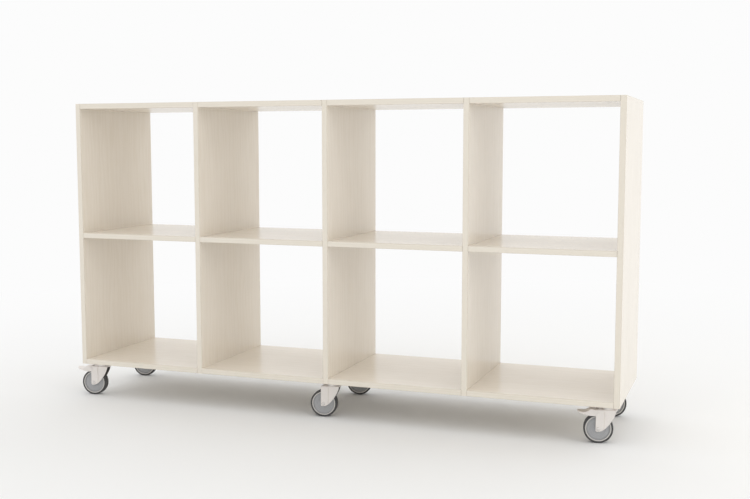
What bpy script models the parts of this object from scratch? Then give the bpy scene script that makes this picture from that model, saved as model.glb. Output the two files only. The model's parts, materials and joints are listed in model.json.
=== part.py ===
"""Rolling cube shelf: open cubes in two rows, carried on six swivel casters.

Metres, +Z up, front towards -Y. The origin lies on the floor under the middle of the whole shelf,
which is wider than its carcass because the brake pedals reach past the left end.
"""

import math

import bmesh
import bpy
from mathutils import Vector

# Carcass, with the names of its uprights from left to right and of its levels from below
UPRIGHTS = ("left_side_panel", "left_divider", "centre_divider", "right_divider", "right_side_panel")
LEVELS = ("base_board", "middle_shelf", "top_board")
CELL_WIDTH = 0.400
CELL_HEIGHT = 0.386
CARCASS_DEPTH = 0.400
BOARD_THICKNESS = 0.016
EDGE_ROUND = 0.001

# Gap between pieces that touch, and how far a cutter runs past what it cuts
SEAM = 0.0003
OVERRUN = 0.002

# Cam fittings of the top and base boards: a pocket for each cam, and the bolt that it draws in
CAM_RADIUS = 0.0075
CAM_COVER = 0.0035
CAM_FROM_UPRIGHT = 0.036
CAM_FROM_EDGE = 0.050
BOLT_RADIUS = 0.0035

# Dowels, on which the middle shelves rest in the uprights
DOWEL_RADIUS = 0.004
DOWEL_FROM_EDGE = 0.060

# Turn of the casters about their swivel axes, as they stand in the photograph
SWIVEL_TURN = math.radians(9.5)

# Caster places, plate and plate screws
CASTER_ENDS = ("left", "middle", "right")
BRAKED_CASTERS = ("front_left", "front_right")
CASTER_FROM_END = 0.037
CASTER_FROM_EDGE = 0.0535
PLATE_THICKNESS = 0.0025
PLATE_CORNER = 0.006
SCREW_FROM_PLATE_EDGE = 0.006
SCREW_RADIUS = 0.0021
SCREW_COVER = 0.004

# Swivel head: the dish pressed out of the plate, and the kingpin with its bearing
DISH_RADIUS = 0.017
DISH_TAPER = 0.002
DISH_HEIGHT = 0.0051
BEARING_RADIUS = 0.013
BEARING_HEIGHT = 0.006
BEARING_GROOVE = 0.0008
KINGPIN_RADIUS = 0.005
KINGPIN_HEAD_RADIUS = 0.009
KINGPIN_HEAD_HEIGHT = 0.003

# Fork, bent from one sheet, whose legs step out where they carry the axle. Their margin is from the
# axle's middle to the edges before and below it, and the rear edge is a curve whose handles reach
# level from below the axle and upright from the crown.
FORK_SHEET = 0.0025
FORK_BEND = 0.004
HEADROOM = 0.011
TRAIL = 0.025
LEG_MARGIN = 0.0072
LEG_CORNER = 0.0035
LEG_WIDTH = 0.021
LEG_REAR = 0.0215
REAR_LEVEL_REACH = 0.023
REAR_UPRIGHT_REACH = 0.0097
STEP_RUN = 0.002
TYRE_CLEARANCE = 0.0006

# Wheel
WHEEL_RADIUS = 0.040
TYRE_WIDTH = 0.022
TYRE_THICKNESS = 0.005
TYRE_SHOULDER = 0.0015
HUB_PROUD = 0.0015
HUB_RADIUS = 0.010
HUB_DRAFT = 0.0012
RIM_INSET = 0.0008
RIM_LIP = 0.0022
RIM_SLOPE = 0.0018
DISC_RECESS = 0.0040

# Axle bolt and nut
AXLE_RADIUS = 0.004
AXLE_HEAD_RADIUS = 0.0056
AXLE_HEAD_HEIGHT = 0.0016
NUT_RADIUS = 0.0066
NUT_HEIGHT = 0.0045

# Brake pedal, whose pivot lies midway between crown and tyre
PEDAL_FREE = 0.0495
PEDAL_WIDTH = 0.033
PEDAL_SHEET = 0.0015
PEDAL_ROUND = 0.0012
PEDAL_PIVOT_INSET = 0.007
BRAKE_PIN_RADIUS = 0.002
SHOE_LENGTH = 0.006
SHOE_FROM_PIVOT = 0.015
BRAKE_TRAVEL = math.radians(12)

# Pedal sections as shares: the way from the fork's mouth out to the tip, or back towards the pivot
# where it is below 0, the top's way up to the crown, the bottom's way down to the tyre, the widening
# from the root's width to the full width, and how much of the section is hollow
PEDAL_SECTION_SHARES = (
    (-1.60, 0.50, -0.55, 0.0, 1.0),
    (0.00, 0.54, -0.80, 0.0, 1.0),
    (0.05, 0.95, -0.85, 0.0, 1.0),
    (0.10, 1.10, -1.75, 0.8, 1.0),
    (0.20, 1.18, -1.85, 1.0, 1.0),
    (0.28, 1.15, -1.82, 1.0, 1.0),
    (0.40, 0.58, -1.58, 1.0, 1.0),
    (0.54, 0.18, -1.22, 1.0, 1.0),
    (0.68, 0.02, -0.82, 1.0, 1.0),
    (0.82, 0.13, -0.45, 0.6, 0.8),
    (0.94, 0.30, -0.12, -0.8, 0.4),
    (1.00, 0.33, 0.08, -2.4, 0.1),
)

# Corners of a square of half width 1
SQUARE = ((-1, -1), (1, -1), (1, 1), (-1, 1))

# Number of sides of the round pieces, and steps of the rounded corners
CAM_SIDES = 10
ROD_SIDES = 6
WHEEL_SIDES = 20
AXLE_SIDES = 8
DISH_SIDES = 12
CORNER_STEPS = 2
LEG_END_STEPS = 3
REAR_EDGE_STEPS = 6
NOSE_STEPS = 6
SHARP_ANGLE = math.radians(32)
WELD = 0.00001

# Sizes worked out from those above
COLUMNS = len(UPRIGHTS) - 1
ROWS = len(LEVELS) - 1
PITCH_X = CELL_WIDTH + BOARD_THICKNESS
PITCH_Z = CELL_HEIGHT + BOARD_THICKNESS
CARCASS_WIDTH = COLUMNS * PITCH_X + BOARD_THICKNESS
CARCASS_HEIGHT = ROWS * PITCH_Z + BOARD_THICKNESS
SHELF_LENGTH = CELL_WIDTH - 2 * SEAM
ROD_END = PITCH_X / 2 - SEAM
CAM_HEIGHT = BOARD_THICKNESS - CAM_COVER
CAM_Y = CARCASS_DEPTH / 2 - CAM_FROM_EDGE
DOWEL_Y = CARCASS_DEPTH / 2 - DOWEL_FROM_EDGE
SCREW_IN_WOOD = BOARD_THICKNESS - SCREW_COVER

# The outer plate screws bite into the middle of the side panels
SCREW_OFFSET = CASTER_FROM_END - BOARD_THICKNESS / 2
PLATE_HALF = SCREW_OFFSET + SCREW_FROM_PLATE_EDGE

# Heights of a caster, from the floor up to the carcass
WHEEL_TOP = 2 * WHEEL_RADIUS
CROWN_BOTTOM = WHEEL_TOP + HEADROOM
CROWN_TOP = CROWN_BOTTOM + FORK_SHEET
BEARING_BOTTOM = CROWN_TOP + SEAM
BEARING_TOP = BEARING_BOTTOM + BEARING_HEIGHT
DISH_BOTTOM = BEARING_TOP + SEAM
PLATE_BOTTOM = DISH_BOTTOM + DISH_HEIGHT
PLATE_TOP = PLATE_BOTTOM + PLATE_THICKNESS
CARCASS_BOTTOM = PLATE_TOP + SEAM

# Half widths across the wheel, from its middle plane outwards
TYRE_HALF = TYRE_WIDTH / 2
HUB_HALF = TYRE_HALF + HUB_PROUD
LEG_INNER = HUB_HALF + SEAM
LEG_OUTER = LEG_INNER + FORK_SHEET
GUSSET_INNER = TYRE_HALF + TYRE_CLEARANCE
GUSSET_OUTER = GUSSET_INNER + FORK_SHEET
NOSE_RADIUS = math.hypot(LEG_REAR, GUSSET_OUTER)

# Fork and pedal along the caster, whose wheel trails to the left of its swivel axis
LEG_LEFT = -(TRAIL + LEG_MARGIN)
LEG_RIGHT = LEG_LEFT + LEG_WIDTH
LEG_BOTTOM = WHEEL_RADIUS - LEG_MARGIN
PIVOT_X = LEG_LEFT + PEDAL_PIVOT_INSET
PIVOT_Z = WHEEL_TOP + HEADROOM / 2
PEDAL_RISE = HEADROOM / 2 + FORK_SHEET
PEDAL_DROP = HEADROOM / 2
PEDAL_ROOT_HALF = LEG_INNER - SEAM
PEDAL_TIP_X = LEG_LEFT - SEAM - PEDAL_FREE
PEDAL_SPREAD = PEDAL_WIDTH / 2 - PEDAL_ROOT_HALF
SHOE_TOP = max(row[1] for row in PEDAL_SECTION_SHARES) * PEDAL_RISE - PEDAL_SHEET / 2
PEDAL_TIP_HALF = PEDAL_ROOT_HALF + PEDAL_SECTION_SHARES[-1][3] * PEDAL_SPREAD

# The carcass stands right of the origin by half of what the turned pedals reach past its left end
PEDAL_REACH = PEDAL_TIP_HALF * math.sin(SWIVEL_TURN) - PEDAL_TIP_X * math.cos(SWIVEL_TURN)
CARCASS_X = (PEDAL_REACH - CASTER_FROM_END) / 2

FINISHES = {
    "board": ((0.80, 0.74, 0.64), 0.55, 0.0),
    "zinc": ((0.70, 0.67, 0.65), 0.35, 0.6),
    "steel": ((0.55, 0.55, 0.56), 0.30, 1.0),
    "wheel_plastic": ((0.32, 0.33, 0.34), 0.45, 0.0),
    "tyre_rubber": ((0.05, 0.05, 0.055), 0.60, 0.0),
}


def clear_scene():
    """Remove every object, so that the script can be run again in an open file."""
    for thing in list(bpy.data.objects):
        bpy.data.objects.remove(thing)


def finish(name):
    """Return the material of this name, made on its first use."""
    made = bpy.data.materials.get(name)
    if made:
        return made
    colour, roughness, metallic = FINISHES[name]
    made = bpy.data.materials.new(name)
    made.use_nodes = True
    shader = made.node_tree.nodes["Principled BSDF"]
    shader.inputs["Base Color"].default_value = (*colour, 1.0)
    shader.inputs["Roughness"].default_value = roughness
    shader.inputs["Metallic"].default_value = metallic
    made.diffuse_color = (*colour, 1.0)
    return made


def point(across, up, along, axis):
    """Return the point of a flat outline (across, up) that has moved along an axis."""
    return {
        "X": Vector((along, across, up)),
        "Y": Vector((across, along, up)),
        "Z": Vector((across, up, along)),
    }[axis]


def arc(centre, radius, start, end, steps):
    """Return the points of an arc, both ends included."""
    turns = [start + (end - start) * k / steps for k in range(steps + 1)]
    return [(centre[0] + radius * math.cos(t), centre[1] + radius * math.sin(t)) for t in turns]


def polygon(centre, radius, sides, turn=0.0):
    """Return a regular outline whose first corner lies turn sides past the across axis."""
    return arc(centre, radius, math.tau * turn / sides, math.tau * (turn + sides - 1) / sides, sides - 1)


def rounded(corners):
    """Return the outline through corners (across, up, radius), each rounded with its own radius."""
    outline = []
    for k, (across, up, radius) in enumerate(corners):
        here = Vector((across, up))
        if not radius:
            outline.append((across, up))
            continue
        back = (Vector(corners[k - 1][:2]) - here).normalized()
        ahead = (Vector(corners[(k + 1) % len(corners)][:2]) - here).normalized()
        half_angle = back.angle(ahead) / 2
        centre = here + (back + ahead).normalized() * radius / math.sin(half_angle)
        first = (here + back * radius / math.tan(half_angle) - centre).normalized()
        last = (here + ahead * radius / math.tan(half_angle) - centre).normalized()
        for step in range(CORNER_STEPS + 1):
            outline.append(tuple(centre + first.slerp(last, step / CORNER_STEPS) * radius))
    return outline


def clear_radius(radius, sides):
    """Return the corner radius of a hole whose flat sides clear a round pin at any angle."""
    return radius / math.cos(math.pi / sides) + SEAM


def prism(bm, outline, low, high, axis):
    """Add a closed outline, extruded along an axis from low to high."""
    face = bm.faces.new([bm.verts.new(point(*place, low, axis)) for place in outline])
    grown = bmesh.ops.extrude_face_region(bm, geom=[face])["geom"]
    moved = [item for item in grown if isinstance(item, bmesh.types.BMVert)]
    bmesh.ops.translate(bm, verts=moved, vec=point(0, 0, high - low, axis))


def turned(bm, profile, sides, axis, start=0.0, closed=False):
    """Add a profile of (radius, along) spun about an axis; a closed one goes round a bore."""
    drawn = [
        bm.verts.new(point(radius * math.cos(start), radius * math.sin(start), along, axis))
        for radius, along in profile
    ]
    ends = drawn[1:] + drawn[:1] if closed else drawn[1:]
    edges = [bm.edges.new(pair) for pair in zip(drawn, ends)]
    bmesh.ops.spin(
        bm, geom=drawn + edges, cent=(0, 0, 0), axis=point(0, 0, 1, axis), angle=math.tau, steps=sides
    )
    bmesh.ops.remove_doubles(bm, verts=bm.verts, dist=WELD)


def skin(bm, rings):
    """Add a solid through rings of points, closed at its first and last ring."""
    loops = [[bm.verts.new(place) for place in ring] for ring in rings]
    for low, high in zip(loops, loops[1:]):
        for k in range(len(low)):
            bm.faces.new((low[k - 1], low[k], high[k], high[k - 1]))
    bm.faces.new(loops[0])
    bm.faces.new(loops[-1])


def as_mesh(name, bm):
    """Turn a finished bmesh into a mesh whose faces point outwards."""
    bmesh.ops.recalc_face_normals(bm, faces=bm.faces)
    mesh = bpy.data.meshes.new(name)
    bm.to_mesh(mesh)
    bm.free()
    return mesh


def solid(name, *shapes):
    """Return a mesh of shapes, each a modelling function followed by its arguments."""
    bm = bmesh.new()
    for make, *arguments in shapes:
        make(bm, *arguments)
    return as_mesh(name, bm)


def carve(name, block, cuts):
    """Return the mesh that is left when each (operation, cutter mesh) has been applied to block."""
    body = bpy.data.objects.new(name, block)
    extras = [body]
    bpy.context.collection.objects.link(body)
    for operation, cutter in cuts:
        tool = bpy.data.objects.new(f"{name}_cutter", cutter)
        bpy.context.collection.objects.link(tool)
        tool.hide_render = True
        tool.display_type = "WIRE"
        modifier = body.modifiers.new("cut", "BOOLEAN")
        modifier.operation = operation
        modifier.object = tool
        extras.append(tool)
    bpy.context.view_layer.update()
    carved = body.evaluated_get(bpy.context.evaluated_depsgraph_get())
    mesh = bpy.data.meshes.new_from_object(carved)
    for extra in extras:
        bpy.data.objects.remove(extra)
    return mesh


def add_node(name, mesh, finish_name, place=(0, 0, 0), parent=None, turn=0.0):
    """Put a mesh into the scene as the named node, placed and turned in its parent's frame."""
    mesh = mesh.copy()
    mesh.name = name
    mesh.materials.clear()
    mesh.materials.append(finish(finish_name))
    mesh.shade_smooth()
    mesh.set_sharp_from_angle(angle=SHARP_ANGLE)
    node = bpy.data.objects.new(name, mesh)
    node.location = place
    node.rotation_euler.z = turn
    node.parent = parent
    bpy.context.collection.objects.link(node)
    return node


def upright_x(index):
    """Return the middle of an upright, counted from the left."""
    return CARCASS_X + (index - COLUMNS / 2) * PITCH_X


def column_x(index):
    """Return the middle of a column of cells, counted from the left."""
    return upright_x(index) + PITCH_X / 2


def level_z(index):
    """Return the middle of a level of boards, counted from the base."""
    return CARCASS_BOTTOM + BOARD_THICKNESS / 2 + index * PITCH_Z


def caster_places():
    """Return each caster's place name and the spot of its swivel axis on the floor."""
    reach = CARCASS_WIDTH / 2 - CASTER_FROM_END
    y = CARCASS_DEPTH / 2 - CASTER_FROM_EDGE
    places = {}
    for k, end in enumerate(CASTER_ENDS):
        x = CARCASS_X + reach * (2 * k / (len(CASTER_ENDS) - 1) - 1)
        places[f"front_{end}"] = Vector((x, -y, 0))
        places[f"rear_{end}"] = Vector((x, y, 0))
    return places


def screw_places():
    """Return the spot of each plate screw."""
    offsets = [Vector((a * SCREW_OFFSET, b * SCREW_OFFSET, 0)) for a, b in SQUARE]
    return [spot + offset for spot in caster_places().values() for offset in offsets]


def screw_holes(middle_x, half_width, low):
    """Return the cutter for the plate screws that enter a board from below, or nothing."""
    top = low + SCREW_IN_WOOD + SEAM
    bore = SCREW_RADIUS + SEAM
    shapes = [
        (prism, polygon((spot.x - middle_x, spot.y), bore, ROD_SIDES), low - OVERRUN, top, "Z")
        for spot in screw_places()
        if abs(spot.x - middle_x) < half_width
    ]
    return [("DIFFERENCE", solid("screw_holes", *shapes))] if shapes else []


def fittings(level):
    """Return half the spacing of a level's bolts or dowels along Y, and their radius."""
    return (DOWEL_Y, DOWEL_RADIUS) if 0 < level < ROWS else (CAM_Y, BOLT_RADIUS)


def board_outline(thickness_first):
    """Return a board's section across its thickness and depth, with rounded front and rear edges."""
    half = (BOARD_THICKNESS / 2, CARCASS_DEPTH / 2)
    corners = [(a * half[0], b * half[1]) for a, b in SQUARE]
    return rounded([(a, b, EDGE_ROUND) if thickness_first else (b, a, EDGE_ROUND) for a, b in corners])


def upright_mesh(index):
    """Return an upright around its own middle, bored through, or halfway into an outer panel."""
    half = BOARD_THICKNESS / 2
    low = 0 if index == 0 else -half - OVERRUN
    high = 0 if index == COLUMNS else half + OVERRUN
    bores = []
    for level in range(ROWS + 1):
        y, radius = fittings(level)
        z = (level - ROWS / 2) * PITCH_Z
        for side in (-y, y):
            bores.append((prism, polygon((side, z), radius + SEAM, ROD_SIDES), low, high, "X"))
    foot = -CARCASS_HEIGHT / 2
    block = solid("upright", (prism, board_outline(True), foot, -foot, "Z"))
    cuts = [("DIFFERENCE", solid("bores", *bores))]
    return carve("upright", block, cuts + screw_holes(upright_x(index), half, foot))


def shelf_mesh(column, level):
    """Return a top board, shelf or base board around its own middle, with its bolts or dowels."""
    y, radius = fittings(level)
    end = SHELF_LENGTH / 2
    under = -BOARD_THICKNESS / 2
    rods = [(prism, polygon((side, 0), radius, ROD_SIDES), -ROD_END, ROD_END, "X") for side in (-y, y)]
    cuts = [("UNION", solid("rods", *rods))]
    if level in (0, ROWS):
        inside = CELL_WIDTH / 2 - CAM_FROM_UPRIGHT
        top = under + CAM_HEIGHT + SEAM
        outlines = [polygon((a * inside, b * y), CAM_RADIUS + SEAM, CAM_SIDES) for a, b in SQUARE]
        pockets = [(prism, outline, under - OVERRUN, top, "Z") for outline in outlines]
        cuts.append(("DIFFERENCE", solid("pockets", *pockets)))
    if level == 0:
        cuts += screw_holes(column_x(column), end, under)
    return carve("shelf", solid("shelf", (prism, board_outline(False), -end, end, "X")), cuts)


def build_carcass():
    """Add the uprights and the boards between them."""
    middle = CARCASS_BOTTOM + CARCASS_HEIGHT / 2
    for index, name in enumerate(UPRIGHTS):
        add_node(name, upright_mesh(index), "board", (upright_x(index), 0, middle))
    for level, name in enumerate(LEVELS):
        for column in range(COLUMNS):
            place = (column_x(column), 0, level_z(level))
            add_node(f"{name}_{column + 1}", shelf_mesh(column, level), "board", place)


def plate_mesh():
    """Return a caster plate: rounded square, pressed dish, and holes for kingpin and screws."""
    corners = [(a * PLATE_HALF, b * PLATE_HALF, PLATE_CORNER) for a, b in SQUARE]
    plate = solid("plate", (prism, rounded(corners), PLATE_BOTTOM, PLATE_TOP, "Z"))
    inside = PLATE_BOTTOM + PLATE_THICKNESS / 2
    dish_profile = [
        (0, DISH_BOTTOM), (DISH_RADIUS - DISH_TAPER, DISH_BOTTOM), (DISH_RADIUS, PLATE_BOTTOM),
        (DISH_RADIUS, inside), (0, inside),
    ]
    dish = solid("dish", (turned, dish_profile, DISH_SIDES, "Z"))
    bore = (KINGPIN_RADIUS + SEAM, DISH_SIDES)
    holes = [(prism, polygon((0, 0), *bore), DISH_BOTTOM - OVERRUN, PLATE_TOP + OVERRUN, "Z")]
    for a, b in SQUARE:
        hole = polygon((a * SCREW_OFFSET, b * SCREW_OFFSET), SCREW_RADIUS + SEAM, ROD_SIDES)
        holes.append((prism, hole, PLATE_BOTTOM - OVERRUN, PLATE_TOP + OVERRUN, "Z"))
    return carve("plate", plate, [("UNION", dish), ("DIFFERENCE", solid("holes", *holes))])


def fork_section(x, inner, outer):
    """Return the bent sheet's section at x: two legs, and a crown between rounded bends."""
    low = LEG_BOTTOM - LEG_MARGIN
    foot = [(outer, low, 0), (-outer, low, 0)]
    outside = rounded([(-outer, CROWN_TOP, FORK_BEND), (outer, CROWN_TOP, FORK_BEND), *foot])
    foot = [(inner, low, 0), (-inner, low, 0)]
    bend = FORK_BEND - FORK_SHEET
    inside = rounded([(-inner, CROWN_BOTTOM, bend), (inner, CROWN_BOTTOM, bend), *foot])
    legs = [outside[-1], *outside[:-1], *reversed(inside[:-1]), inside[-1]]
    return [Vector((x, y, z)) for y, z in legs]


def rear_edge():
    """Return the curve of the fork's rear edge, from below the axle up to the crown's bend."""
    low = Vector((-TRAIL, LEG_BOTTOM))
    high = Vector((LEG_REAR, CROWN_TOP - FORK_BEND))
    level, upright = low + Vector((REAR_LEVEL_REACH, 0)), high - Vector((0, REAR_UPRIGHT_REACH))
    curve = []
    for step in range(1, REAR_EDGE_STEPS + 1):
        done = step / REAR_EDGE_STEPS
        left = 1 - done
        between = 3 * left * done * (left * level + done * upright)
        curve.append(tuple(left ** 3 * low + between + done ** 3 * high))
    return curve


def leg_outline():
    """Return the fork's side view: a small rounding below the axle, and a curved rear edge."""
    corner = (LEG_LEFT + LEG_CORNER, LEG_BOTTOM + LEG_CORNER)
    end = arc(corner, LEG_CORNER, math.pi, 1.5 * math.pi, LEG_END_STEPS)
    lip = CROWN_TOP - FORK_BEND
    over = CROWN_TOP + OVERRUN
    nose = NOSE_RADIUS + OVERRUN
    return [(LEG_LEFT, over), *end, *rear_edge(), (nose, lip), (nose, over)]


def fork_mesh(braked):
    """Return a fork in its caster's frame, with its bores."""
    stations = [
        (LEG_LEFT - OVERRUN, LEG_INNER, LEG_OUTER),
        (LEG_RIGHT, LEG_INNER, LEG_OUTER),
        (LEG_RIGHT + STEP_RUN, GUSSET_INNER, GUSSET_OUTER),
        (NOSE_RADIUS + OVERRUN, GUSSET_INNER, GUSSET_OUTER),
    ]
    sheet = solid("fork", (skin, [fork_section(*station) for station in stations]))
    wide = LEG_OUTER + OVERRUN
    side = solid("side", (prism, leg_outline(), -wide, wide, "Y"))
    nose = arc((0, 0), NOSE_RADIUS, -math.pi / 2, math.pi / 2, NOSE_STEPS)
    mouth = LEG_LEFT - 2 * OVERRUN
    plan_outline = [*nose, (mouth, NOSE_RADIUS), (mouth, -NOSE_RADIUS)]
    plan = solid("plan", (prism, plan_outline, 0, CROWN_TOP + OVERRUN, "Z"))
    king = (prism, polygon((0, 0), clear_radius(KINGPIN_RADIUS, DISH_SIDES), DISH_SIDES),
            CROWN_BOTTOM - OVERRUN, CROWN_TOP + OVERRUN, "Z")
    axle = (prism, polygon((-TRAIL, WHEEL_RADIUS), AXLE_RADIUS + SEAM, AXLE_SIDES), -wide, wide, "Y")
    holes = [king, axle]
    if braked:
        pin = polygon((PIVOT_X, PIVOT_Z), BRAKE_PIN_RADIUS + SEAM, AXLE_SIDES)
        holes.append((prism, pin, -wide, wide, "Y"))
    cuts = [("INTERSECT", side), ("INTERSECT", plan), ("DIFFERENCE", solid("holes", *holes))]
    return carve("fork", sheet, cuts)


def axle_mesh():
    """Return an axle bolt along Y around the axle's middle, with the nut on its rear end."""
    face = LEG_OUTER + SEAM
    rear = face + NUT_HEIGHT
    crown = AXLE_HEAD_RADIUS - AXLE_HEAD_HEIGHT
    bolt = [
        (0, -face - AXLE_HEAD_HEIGHT), (crown, -face - AXLE_HEAD_HEIGHT), (AXLE_HEAD_RADIUS, -face),
        (AXLE_RADIUS, -face), (AXLE_RADIUS, rear + SEAM), (0, rear + SEAM),
    ]
    shank = solid("axle", (turned, bolt, AXLE_SIDES, "Y"))
    nut = solid("nut", (prism, polygon((0, 0), NUT_RADIUS, ROD_SIDES), face, rear, "Y"))
    return carve("axle", shank, [("UNION", nut)])


def wheel_core_mesh():
    """Return a wheel's core about its axle: hub, recessed disc and a rim with a raised lip."""
    rim = WHEEL_RADIUS - TYRE_THICKNESS - SEAM
    lip = rim - RIM_LIP
    half = [
        (clear_radius(AXLE_RADIUS, WHEEL_SIDES), HUB_HALF),
        (HUB_RADIUS, HUB_HALF),
        (HUB_RADIUS + HUB_DRAFT, TYRE_HALF - DISC_RECESS),
        (lip - RIM_SLOPE, TYRE_HALF - DISC_RECESS),
        (lip, TYRE_HALF - RIM_INSET),
        (rim, TYRE_HALF - RIM_INSET),
    ]
    profile = half + [(radius, -along) for radius, along in reversed(half)]
    return solid("wheel_core", (turned, profile, WHEEL_SIDES, "Y", wheel_start(), True))


def wheel_start():
    """Return the angle of a wheel's first corner, which sets the wheel down on one of its flats."""
    return math.pi / WHEEL_SIDES - math.pi / 2


def tyre_reach():
    """Return the radius of the tyre's corners, whose flats touch the true circle."""
    return WHEEL_RADIUS / math.cos(math.pi / WHEEL_SIDES)


def tyre_mesh():
    """Return a tyre about its axle, with slanted shoulders."""
    inner = WHEEL_RADIUS - TYRE_THICKNESS
    outer = tyre_reach()
    half = [(inner, TYRE_HALF), (outer - TYRE_SHOULDER, TYRE_HALF), (outer, TYRE_HALF - TYRE_SHOULDER)]
    profile = half + [(radius, -along) for radius, along in reversed(half)]
    return solid("tyre", (turned, profile, WHEEL_SIDES, "Y", wheel_start(), True))


def pedal_section(along, top, bottom, widening, hollow):
    """Return a section of the pedal, an inverted channel, from its row of shares."""
    reach = PEDAL_PIVOT_INSET if along < 0 else PEDAL_FREE
    x = LEG_LEFT - PIVOT_X - along * reach - (0 if along < 0 else SEAM)
    outer = PEDAL_ROOT_HALF + widening * PEDAL_SPREAD
    inner = outer - PEDAL_SHEET
    high = top * PEDAL_RISE
    low = bottom * PEDAL_DROP
    roof = low + hollow * (high - PEDAL_SHEET - low)
    shoulder = [(outer - PEDAL_ROUND, high), (outer, high - PEDAL_ROUND)]
    half = [*shoulder, (outer, low), (inner, low), (inner, roof)]
    return [Vector((x, y, z)) for y, z in half + [(-y, z) for y, z in reversed(half)]]


def shoe_point(along):
    """Return the point of the shoe's underside at this distance from the pivot.

    Pressed by the full travel, that point comes to rest a seam away from the tyre.
    """
    away = Vector((-TRAIL - PIVOT_X, WHEEL_RADIUS - PIVOT_Z))
    turn_cos, turn_sin = math.cos(BRAKE_TRAVEL), math.sin(BRAKE_TRAVEL)
    wheel_x = away.x * turn_cos + away.y * turn_sin
    wheel_z = away.y * turn_cos - away.x * turn_sin
    reach = tyre_reach() + SEAM
    return -along, wheel_z + math.sqrt(reach ** 2 - (-along - wheel_x) ** 2)


def pedal_mesh():
    """Return a brake pedal about its pivot, with the shoe that presses on the tyre."""
    channel = solid("pedal", (skin, [pedal_section(*row) for row in PEDAL_SECTION_SHARES]))
    right = shoe_point(SHOE_FROM_PIVOT - SHOE_LENGTH / 2)
    left = shoe_point(SHOE_FROM_PIVOT + SHOE_LENGTH / 2)
    half = PEDAL_ROOT_HALF - PEDAL_SHEET / 2
    outline = [left, right, (right[0], SHOE_TOP), (left[0], SHOE_TOP)]
    shoe = solid("shoe", (prism, outline, -half, half, "Y"))
    wide = PEDAL_WIDTH
    pin = polygon((0, 0), clear_radius(BRAKE_PIN_RADIUS, AXLE_SIDES), AXLE_SIDES)
    hole = solid("hole", (prism, pin, -wide, wide, "Y"))
    return carve("pedal", channel, [("UNION", shoe), ("DIFFERENCE", hole)])


def kingpin_mesh():
    """Return a kingpin in its caster's frame: bearing above the crown, riveted over below it."""
    head_top = CROWN_BOTTOM - SEAM
    head_bottom = head_top - KINGPIN_HEAD_HEIGHT
    groove = (BEARING_BOTTOM + BEARING_TOP) / 2
    profile = [
        (0, head_bottom), (KINGPIN_RADIUS, head_bottom), (KINGPIN_HEAD_RADIUS, head_top),
        (KINGPIN_RADIUS, head_top), (KINGPIN_RADIUS, BEARING_BOTTOM), (BEARING_RADIUS, BEARING_BOTTOM),
        (BEARING_RADIUS - BEARING_GROOVE, groove), (BEARING_RADIUS, BEARING_TOP),
        (KINGPIN_RADIUS, BEARING_TOP), (KINGPIN_RADIUS, PLATE_TOP), (0, PLATE_TOP),
    ]
    return solid("kingpin", (turned, profile, DISH_SIDES, "Z"))


def build_casters():
    """Add the casters: plates and kingpins fixed to the carcass, forks with wheels and brakes."""
    plate, kingpin = plate_mesh(), kingpin_mesh()
    forks = {braked: fork_mesh(braked) for braked in (False, True)}
    axle, core, tyre, pedal = axle_mesh(), wheel_core_mesh(), tyre_mesh(), pedal_mesh()
    pin_outline = polygon((0, 0), BRAKE_PIN_RADIUS, AXLE_SIDES)
    pin = solid("pin", (prism, pin_outline, -LEG_OUTER, LEG_OUTER, "Y"))
    hub = (-TRAIL, 0, WHEEL_RADIUS)
    pivot = (PIVOT_X, 0, PIVOT_Z)
    for place, spot in caster_places().items():
        braked = place in BRAKED_CASTERS
        add_node(f"caster_plate_{place}", plate, "zinc", spot)
        add_node(f"kingpin_{place}", kingpin, "steel", spot)
        fork = add_node(f"fork_{place}", forks[braked], "zinc", spot, turn=SWIVEL_TURN)
        add_node(f"axle_{place}", axle, "steel", hub, fork)
        add_node(f"wheel_core_{place}", core, "wheel_plastic", hub, fork)
        add_node(f"tyre_{place}", tyre, "tyre_rubber", hub, fork)
        if braked:
            add_node(f"brake_pin_{place}", pin, "steel", pivot, fork)
            add_node(f"brake_pedal_{place}", pedal, "zinc", pivot, fork)


def build():
    """Build the whole shelf."""
    clear_scene()
    build_carcass()
    build_casters()


build()
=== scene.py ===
"""Looks of the rolling cube shelf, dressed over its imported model.

Metres, +Z up, front towards -Y. A caster's pieces are modelled once, around a swivel axis that
stands on the origin and at their real heights above the floor, and are then copied to each place.
"""

from __future__ import annotations

import json
import logging
import math
from collections.abc import Callable, Iterator, Mapping, Sequence
from contextlib import contextmanager
from dataclasses import dataclass, replace
from enum import Enum

import bmesh
import bpy
from mathutils import Matrix, Vector

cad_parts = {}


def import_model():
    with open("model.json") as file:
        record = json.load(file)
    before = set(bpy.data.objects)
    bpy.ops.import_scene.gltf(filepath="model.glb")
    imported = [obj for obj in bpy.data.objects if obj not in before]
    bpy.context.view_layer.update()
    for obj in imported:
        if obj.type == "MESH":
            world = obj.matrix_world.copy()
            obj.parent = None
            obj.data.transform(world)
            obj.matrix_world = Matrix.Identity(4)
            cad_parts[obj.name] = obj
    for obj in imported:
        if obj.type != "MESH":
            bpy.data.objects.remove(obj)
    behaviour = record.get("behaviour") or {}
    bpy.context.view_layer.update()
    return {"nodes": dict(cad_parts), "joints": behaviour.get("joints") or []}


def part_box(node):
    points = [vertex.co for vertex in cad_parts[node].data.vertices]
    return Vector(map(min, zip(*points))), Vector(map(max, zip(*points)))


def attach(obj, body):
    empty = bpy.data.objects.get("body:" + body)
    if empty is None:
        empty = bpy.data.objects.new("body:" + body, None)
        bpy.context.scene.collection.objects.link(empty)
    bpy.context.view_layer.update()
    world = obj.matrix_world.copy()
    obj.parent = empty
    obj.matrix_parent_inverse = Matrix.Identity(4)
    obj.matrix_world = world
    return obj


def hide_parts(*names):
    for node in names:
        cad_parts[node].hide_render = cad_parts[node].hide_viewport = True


LOG = logging.getLogger("cube_shelf")
MERGE = 0.00001  # points nearer than this are one
SHORTEST = 0.00002  # edges up to this length go before a rounding
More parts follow.
